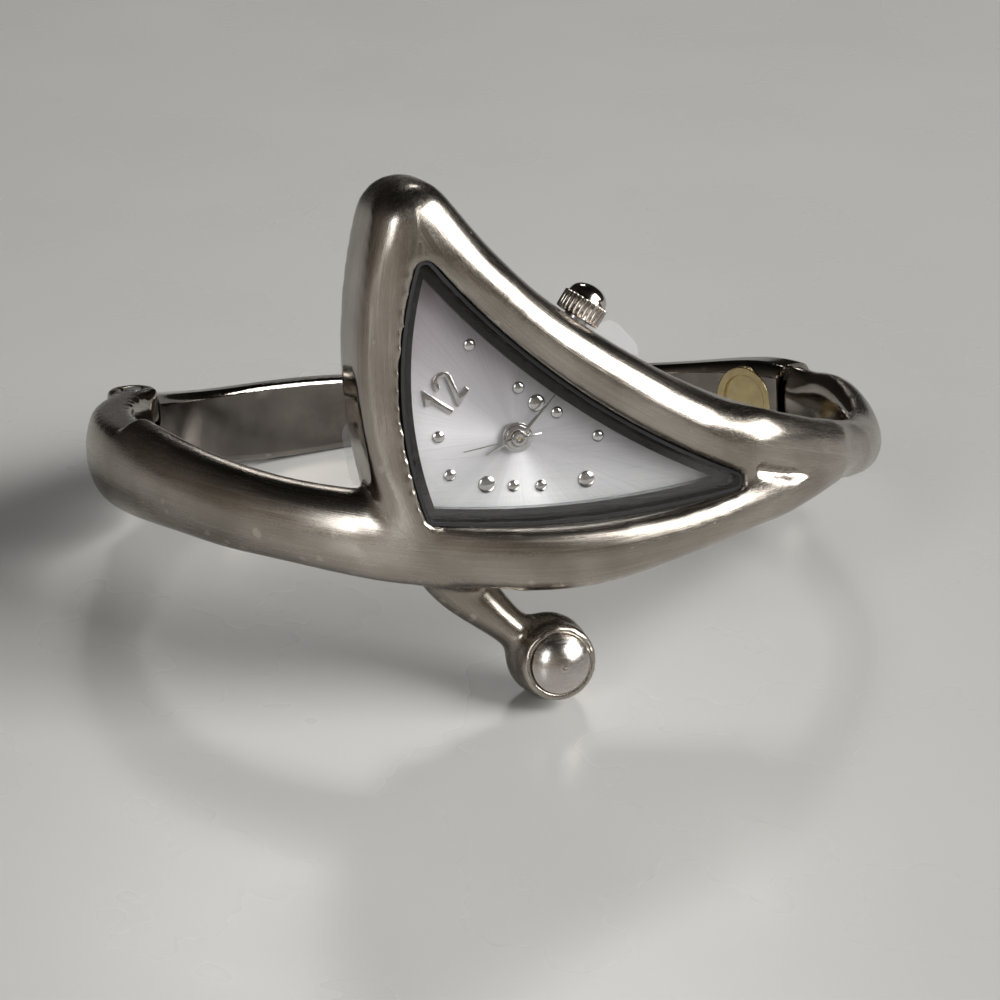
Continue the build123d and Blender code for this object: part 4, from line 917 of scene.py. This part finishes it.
def build_crown():
    """Crown with a ribbed skirt, a bright rim and a domed end."""
    frame_of_crown, length = crown_frame()
    core = CROWN_RADIUS - RIB_RADIUS
    rise = length - CROWN_SKIRT
    skirt = [(0, 0), (0.9 * core, 0), (core, 0.1), (core, CROWN_SKIRT - 0.12)]
    rim = [(0.97 * core, CROWN_SKIRT - 0.02), (0.935 * core, CROWN_SKIRT + 0.02)]
    dome = [(DOME_SHARE * core * math.cos(a), CROWN_SKIRT + rise * math.sin(a))
            for a in map(math.radians, range(10, 90, 8))]
    vertices, faces = lathe(skirt + rim + dome + [(0, length)], CROWN_STEPS)
    obj = add_mesh("crown_ribbed", vertices, faces, CROWN_METAL)
    g, i, o = geometry_tree("ribs_round_crown", [
        ("Rib Count", "NodeSocketInt"), ("Ring Radius", "NodeSocketFloat"), ("Rib Radius", "NodeSocketFloat"),
        ("Rib Length", "NodeSocketFloat"), ("Finish", "NodeSocketMaterial")])
    ring = g.add("GeometryNodeMeshCircle", {
        "Vertices": i.outputs["Rib Count"], "Radius": i.outputs["Ring Radius"]})
    ball = g.add("GeometryNodeMeshUVSphere", {"Segments": 10, "Rings": 8, "Radius": 1.0})
    half = g.math("MULTIPLY", i.outputs["Rib Length"], 0.5)
    size = g.add("ShaderNodeCombineXYZ", {
        "X": i.outputs["Rib Radius"], "Y": i.outputs["Rib Radius"], "Z": half})
    spot = g.add("ShaderNodeSeparateXYZ", {0: g.add("GeometryNodeInputPosition").outputs[0]})
    full = g.math("MINIMUM", g.math("MULTIPLY", spot.outputs["Z"], 2.2), 1.0)
    full = g.math("MAXIMUM", full, -1.0)
    blunt = g.add("ShaderNodeCombineXYZ", {"X": spot.outputs["X"], "Y": spot.outputs["Y"], "Z": full})
    rib = g.add("GeometryNodeSetPosition", {"Geometry": ball.outputs["Mesh"], "Position": blunt.outputs[0]})
    ribs = g.add("GeometryNodeInstanceOnPoints", {
        "Points": ring.outputs["Mesh"], "Instance": rib.outputs["Geometry"], "Scale": size.outputs[0]})
    middle = g.add("ShaderNodeCombineXYZ", {"Z": g.math("ADD", half, RIB_INSET)})
    raised = g.add("GeometryNodeTransform", {
        "Geometry": ribs.outputs["Instances"], "Translation": middle.outputs[0]})
    both = g.add("GeometryNodeJoinGeometry")
    g.set(both.inputs[0], i.outputs["Geometry"])
    g.set(both.inputs[0], raised.outputs["Geometry"])
    solid = g.add("GeometryNodeRealizeInstances", {"Geometry": both.outputs["Geometry"]})
    shown = g.add("GeometryNodeSetMaterial", {"Geometry": solid.outputs["Geometry"],
                                              "Material": i.outputs["Finish"]})
    g.set(o.inputs["Geometry"], shown.outputs["Geometry"])
    grow(obj, g, {"Rib Count": CROWN_RIBS, "Ring Radius": core, "Rib Radius": RIB_RADIUS,
                  "Rib Length": CROWN_SKIRT - RIB_SHORTER, "Finish": CROWN_METAL})
    obj.data.transform(frame_of_crown @ Matrix.Scale(MM, 4))
    stand_in(obj, "crown")


build_crown()


def build_spring():
    """Coil spring under the catch button, shown with a mesh of its own; the real spring shortens as the
    button is pushed.
    """
    obj = merged_copy("button_spring_coils", "button_spring")
    stand_in(obj, "button_spring")
    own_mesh(obj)


build_spring()


TABLE_SIZE = 4.0
# Where the room is brightest, as a direction from the watch
ROOM_LIGHT_FROM = Vector((-0.60, -0.75, 0.25)).normalized()
# Windows in metres and watts: place, point faced, size, power and colour
WATCH_PLACE = (0, 0, 0.02)
RIGHT_WINDOW = ((0.92, -0.55, 0.68), WATCH_PLACE, (1.0, 0.75), 27.0, (1.0, 0.99, 0.975))
LEFT_WINDOW = ((-0.75, -0.75, 0.55), WATCH_PLACE, (0.22, 0.6), 3.0, (0.97, 0.985, 1.0))
FAR_WINDOW = ((0.35, 1.1, 0.85), WATCH_PLACE, (0.3, 0.25), 1.5, (1.0, 0.98, 0.96))


def table_material():
    """Pale, slightly glossy table with fine scratches."""
    material, s, surface = start_material("pale_table", roughness=0.25)
    place = millimetres(s)
    cloud = s.noise(place, 0.01, detail=3.0)
    streaks = s.add("ShaderNodeVectorMath", {0: place, 1: (3.0, 0.15, 1)},
                    operation="MULTIPLY").outputs[0]
    scratch = s.ramp(s.noise(streaks, 1.0, detail=2.0, roughness=0.5), [(0.74, 0.0), (0.80, 0.12)])
    tone = s.mix(cloud, (0.50, 0.50, 0.485, 1), (0.54, 0.535, 0.525, 1))
    s.set(surface.inputs["Base Color"], s.mix(scratch, tone, (0.38, 0.37, 0.35, 1)))
    gloss = s.math("MULTIPLY", s.noise(place, 0.05), 0.12)
    s.set(surface.inputs["Roughness"], s.math("ADD", 0.22, gloss))
    s.set(surface.inputs["Normal"], s.bump(s.noise(place, 0.05, detail=2.0), 0.15, 0.2 * MM))
    return material


def build_table():
    half = TABLE_SIZE / 2
    corners = [(-half, -half, 0), (half, -half, 0), (half, half, 0), (-half, half, 0)]
    return add_mesh("table_top", corners, [(0, 1, 2, 3)], table_material())


def window_lamp(name, place, aim, size, power, colour):
    lamp = bpy.data.lights.new(name, "AREA")
    lamp.shape = "RECTANGLE"
    lamp.size, lamp.size_y = size
    lamp.energy = power
    lamp.color = colour
    obj = bpy.data.objects.new(name, lamp)
    obj.location = place
    obj.rotation_euler = (Vector(aim) - Vector(place)).to_track_quat("-Z", "Y").to_euler()
    bpy.context.scene.collection.objects.link(obj)
    return obj


def light_for(lamp, obj, state):
    """Lets a lamp light only one object, with INCLUDE, or all but that one, with EXCLUDE."""
    receivers = bpy.data.collections.new(lamp.name + "_receivers")
    receivers.objects.link(obj)
    receivers.collection_objects[0].light_linking.link_state = state
    lamp.light_linking.receiver_collection = receivers


def build_world():
    """A warm room, dark behind and overhead and lighter towards the viewer's left."""
    world = bpy.data.worlds.new("room")
    bpy.context.scene.world = world
    world.use_nodes = True
    world.node_tree.nodes.clear()
    s = Shader(world.node_tree)
    ray = s.add("ShaderNodeTexCoord").outputs["Generated"]
    toward = s.add("ShaderNodeVectorMath", {0: ray, 1: ROOM_LIGHT_FROM},
                   operation="DOT_PRODUCT").outputs["Value"]
    rise = s.add("ShaderNodeSeparateXYZ", {0: ray}).outputs["Z"]
    front = s.ramp(s.math("ADD", s.math("MULTIPLY", toward, 0.5), 0.5),
                   [(0.30, 0.02), (0.55, 0.07), (0.80, 0.16), (1.0, 0.36)])
    ceiling = s.ramp(rise, [(0.10, 1.0), (0.45, 0.55), (0.85, 0.10)])
    room = s.mix(1.0, s.mix(1.0, front, ceiling, "MULTIPLY"), (1.0, 0.87, 0.74, 1), "MULTIPLY")
    back = s.add("ShaderNodeBackground", {"Color": room, "Strength": 1.0})
    s.set(s.add("ShaderNodeOutputWorld").inputs["Surface"], back.outputs[0])


def build_camera():
    a, e, r = CAMERA_TURN, CAMERA_RISE, CAMERA_ROLL
    back = Vector((math.sin(a) * math.cos(e), -math.cos(a) * math.cos(e), math.sin(e)))
    level = Vector((math.cos(a), math.sin(a), 0))
    above = back.cross(level)
    right = level * math.cos(r) - above * math.sin(r)
    up = level * math.sin(r) + above * math.cos(r)
    eye = (CAMERA_TARGET + back * CAMERA_DISTANCE) * MM
    turn = Matrix((right, up, back)).transposed().to_4x4()
    camera = bpy.data.objects.new("camera", bpy.data.cameras.new("camera"))
    camera.matrix_world = BAND @ Matrix.Translation(eye) @ turn
    camera.data.sensor_width = SENSOR
    camera.data.lens = PIXELS_PER_MM * CAMERA_DISTANCE * SENSOR / IMAGE_SIZE
    camera.data.shift_x = (IMAGE_SIZE / 2 - TARGET_PIXEL[0]) / IMAGE_SIZE
    camera.data.shift_y = (TARGET_PIXEL[1] - IMAGE_SIZE / 2) / IMAGE_SIZE
    camera.data.clip_start = 0.01
    camera.data.clip_end = 10
    bpy.context.scene.collection.objects.link(camera)
    bpy.context.scene.camera = camera


build_world()
build_camera()
# The table gets the big window's light without its mirror image, which would blind views from behind
table = build_table()
window_right = window_lamp("window_right", *RIGHT_WINDOW)
window_on_table = window_lamp("window_right_on_table", *RIGHT_WINDOW)
window_on_table.visible_glossy = False
light_for(window_right, table, "EXCLUDE")
light_for(window_on_table, table, "INCLUDE")
window_lamp("window_left", *LEFT_WINDOW)
window_lamp("window_far", *FAR_WINDOW)

bpy.context.scene.view_settings.view_transform = "Standard"
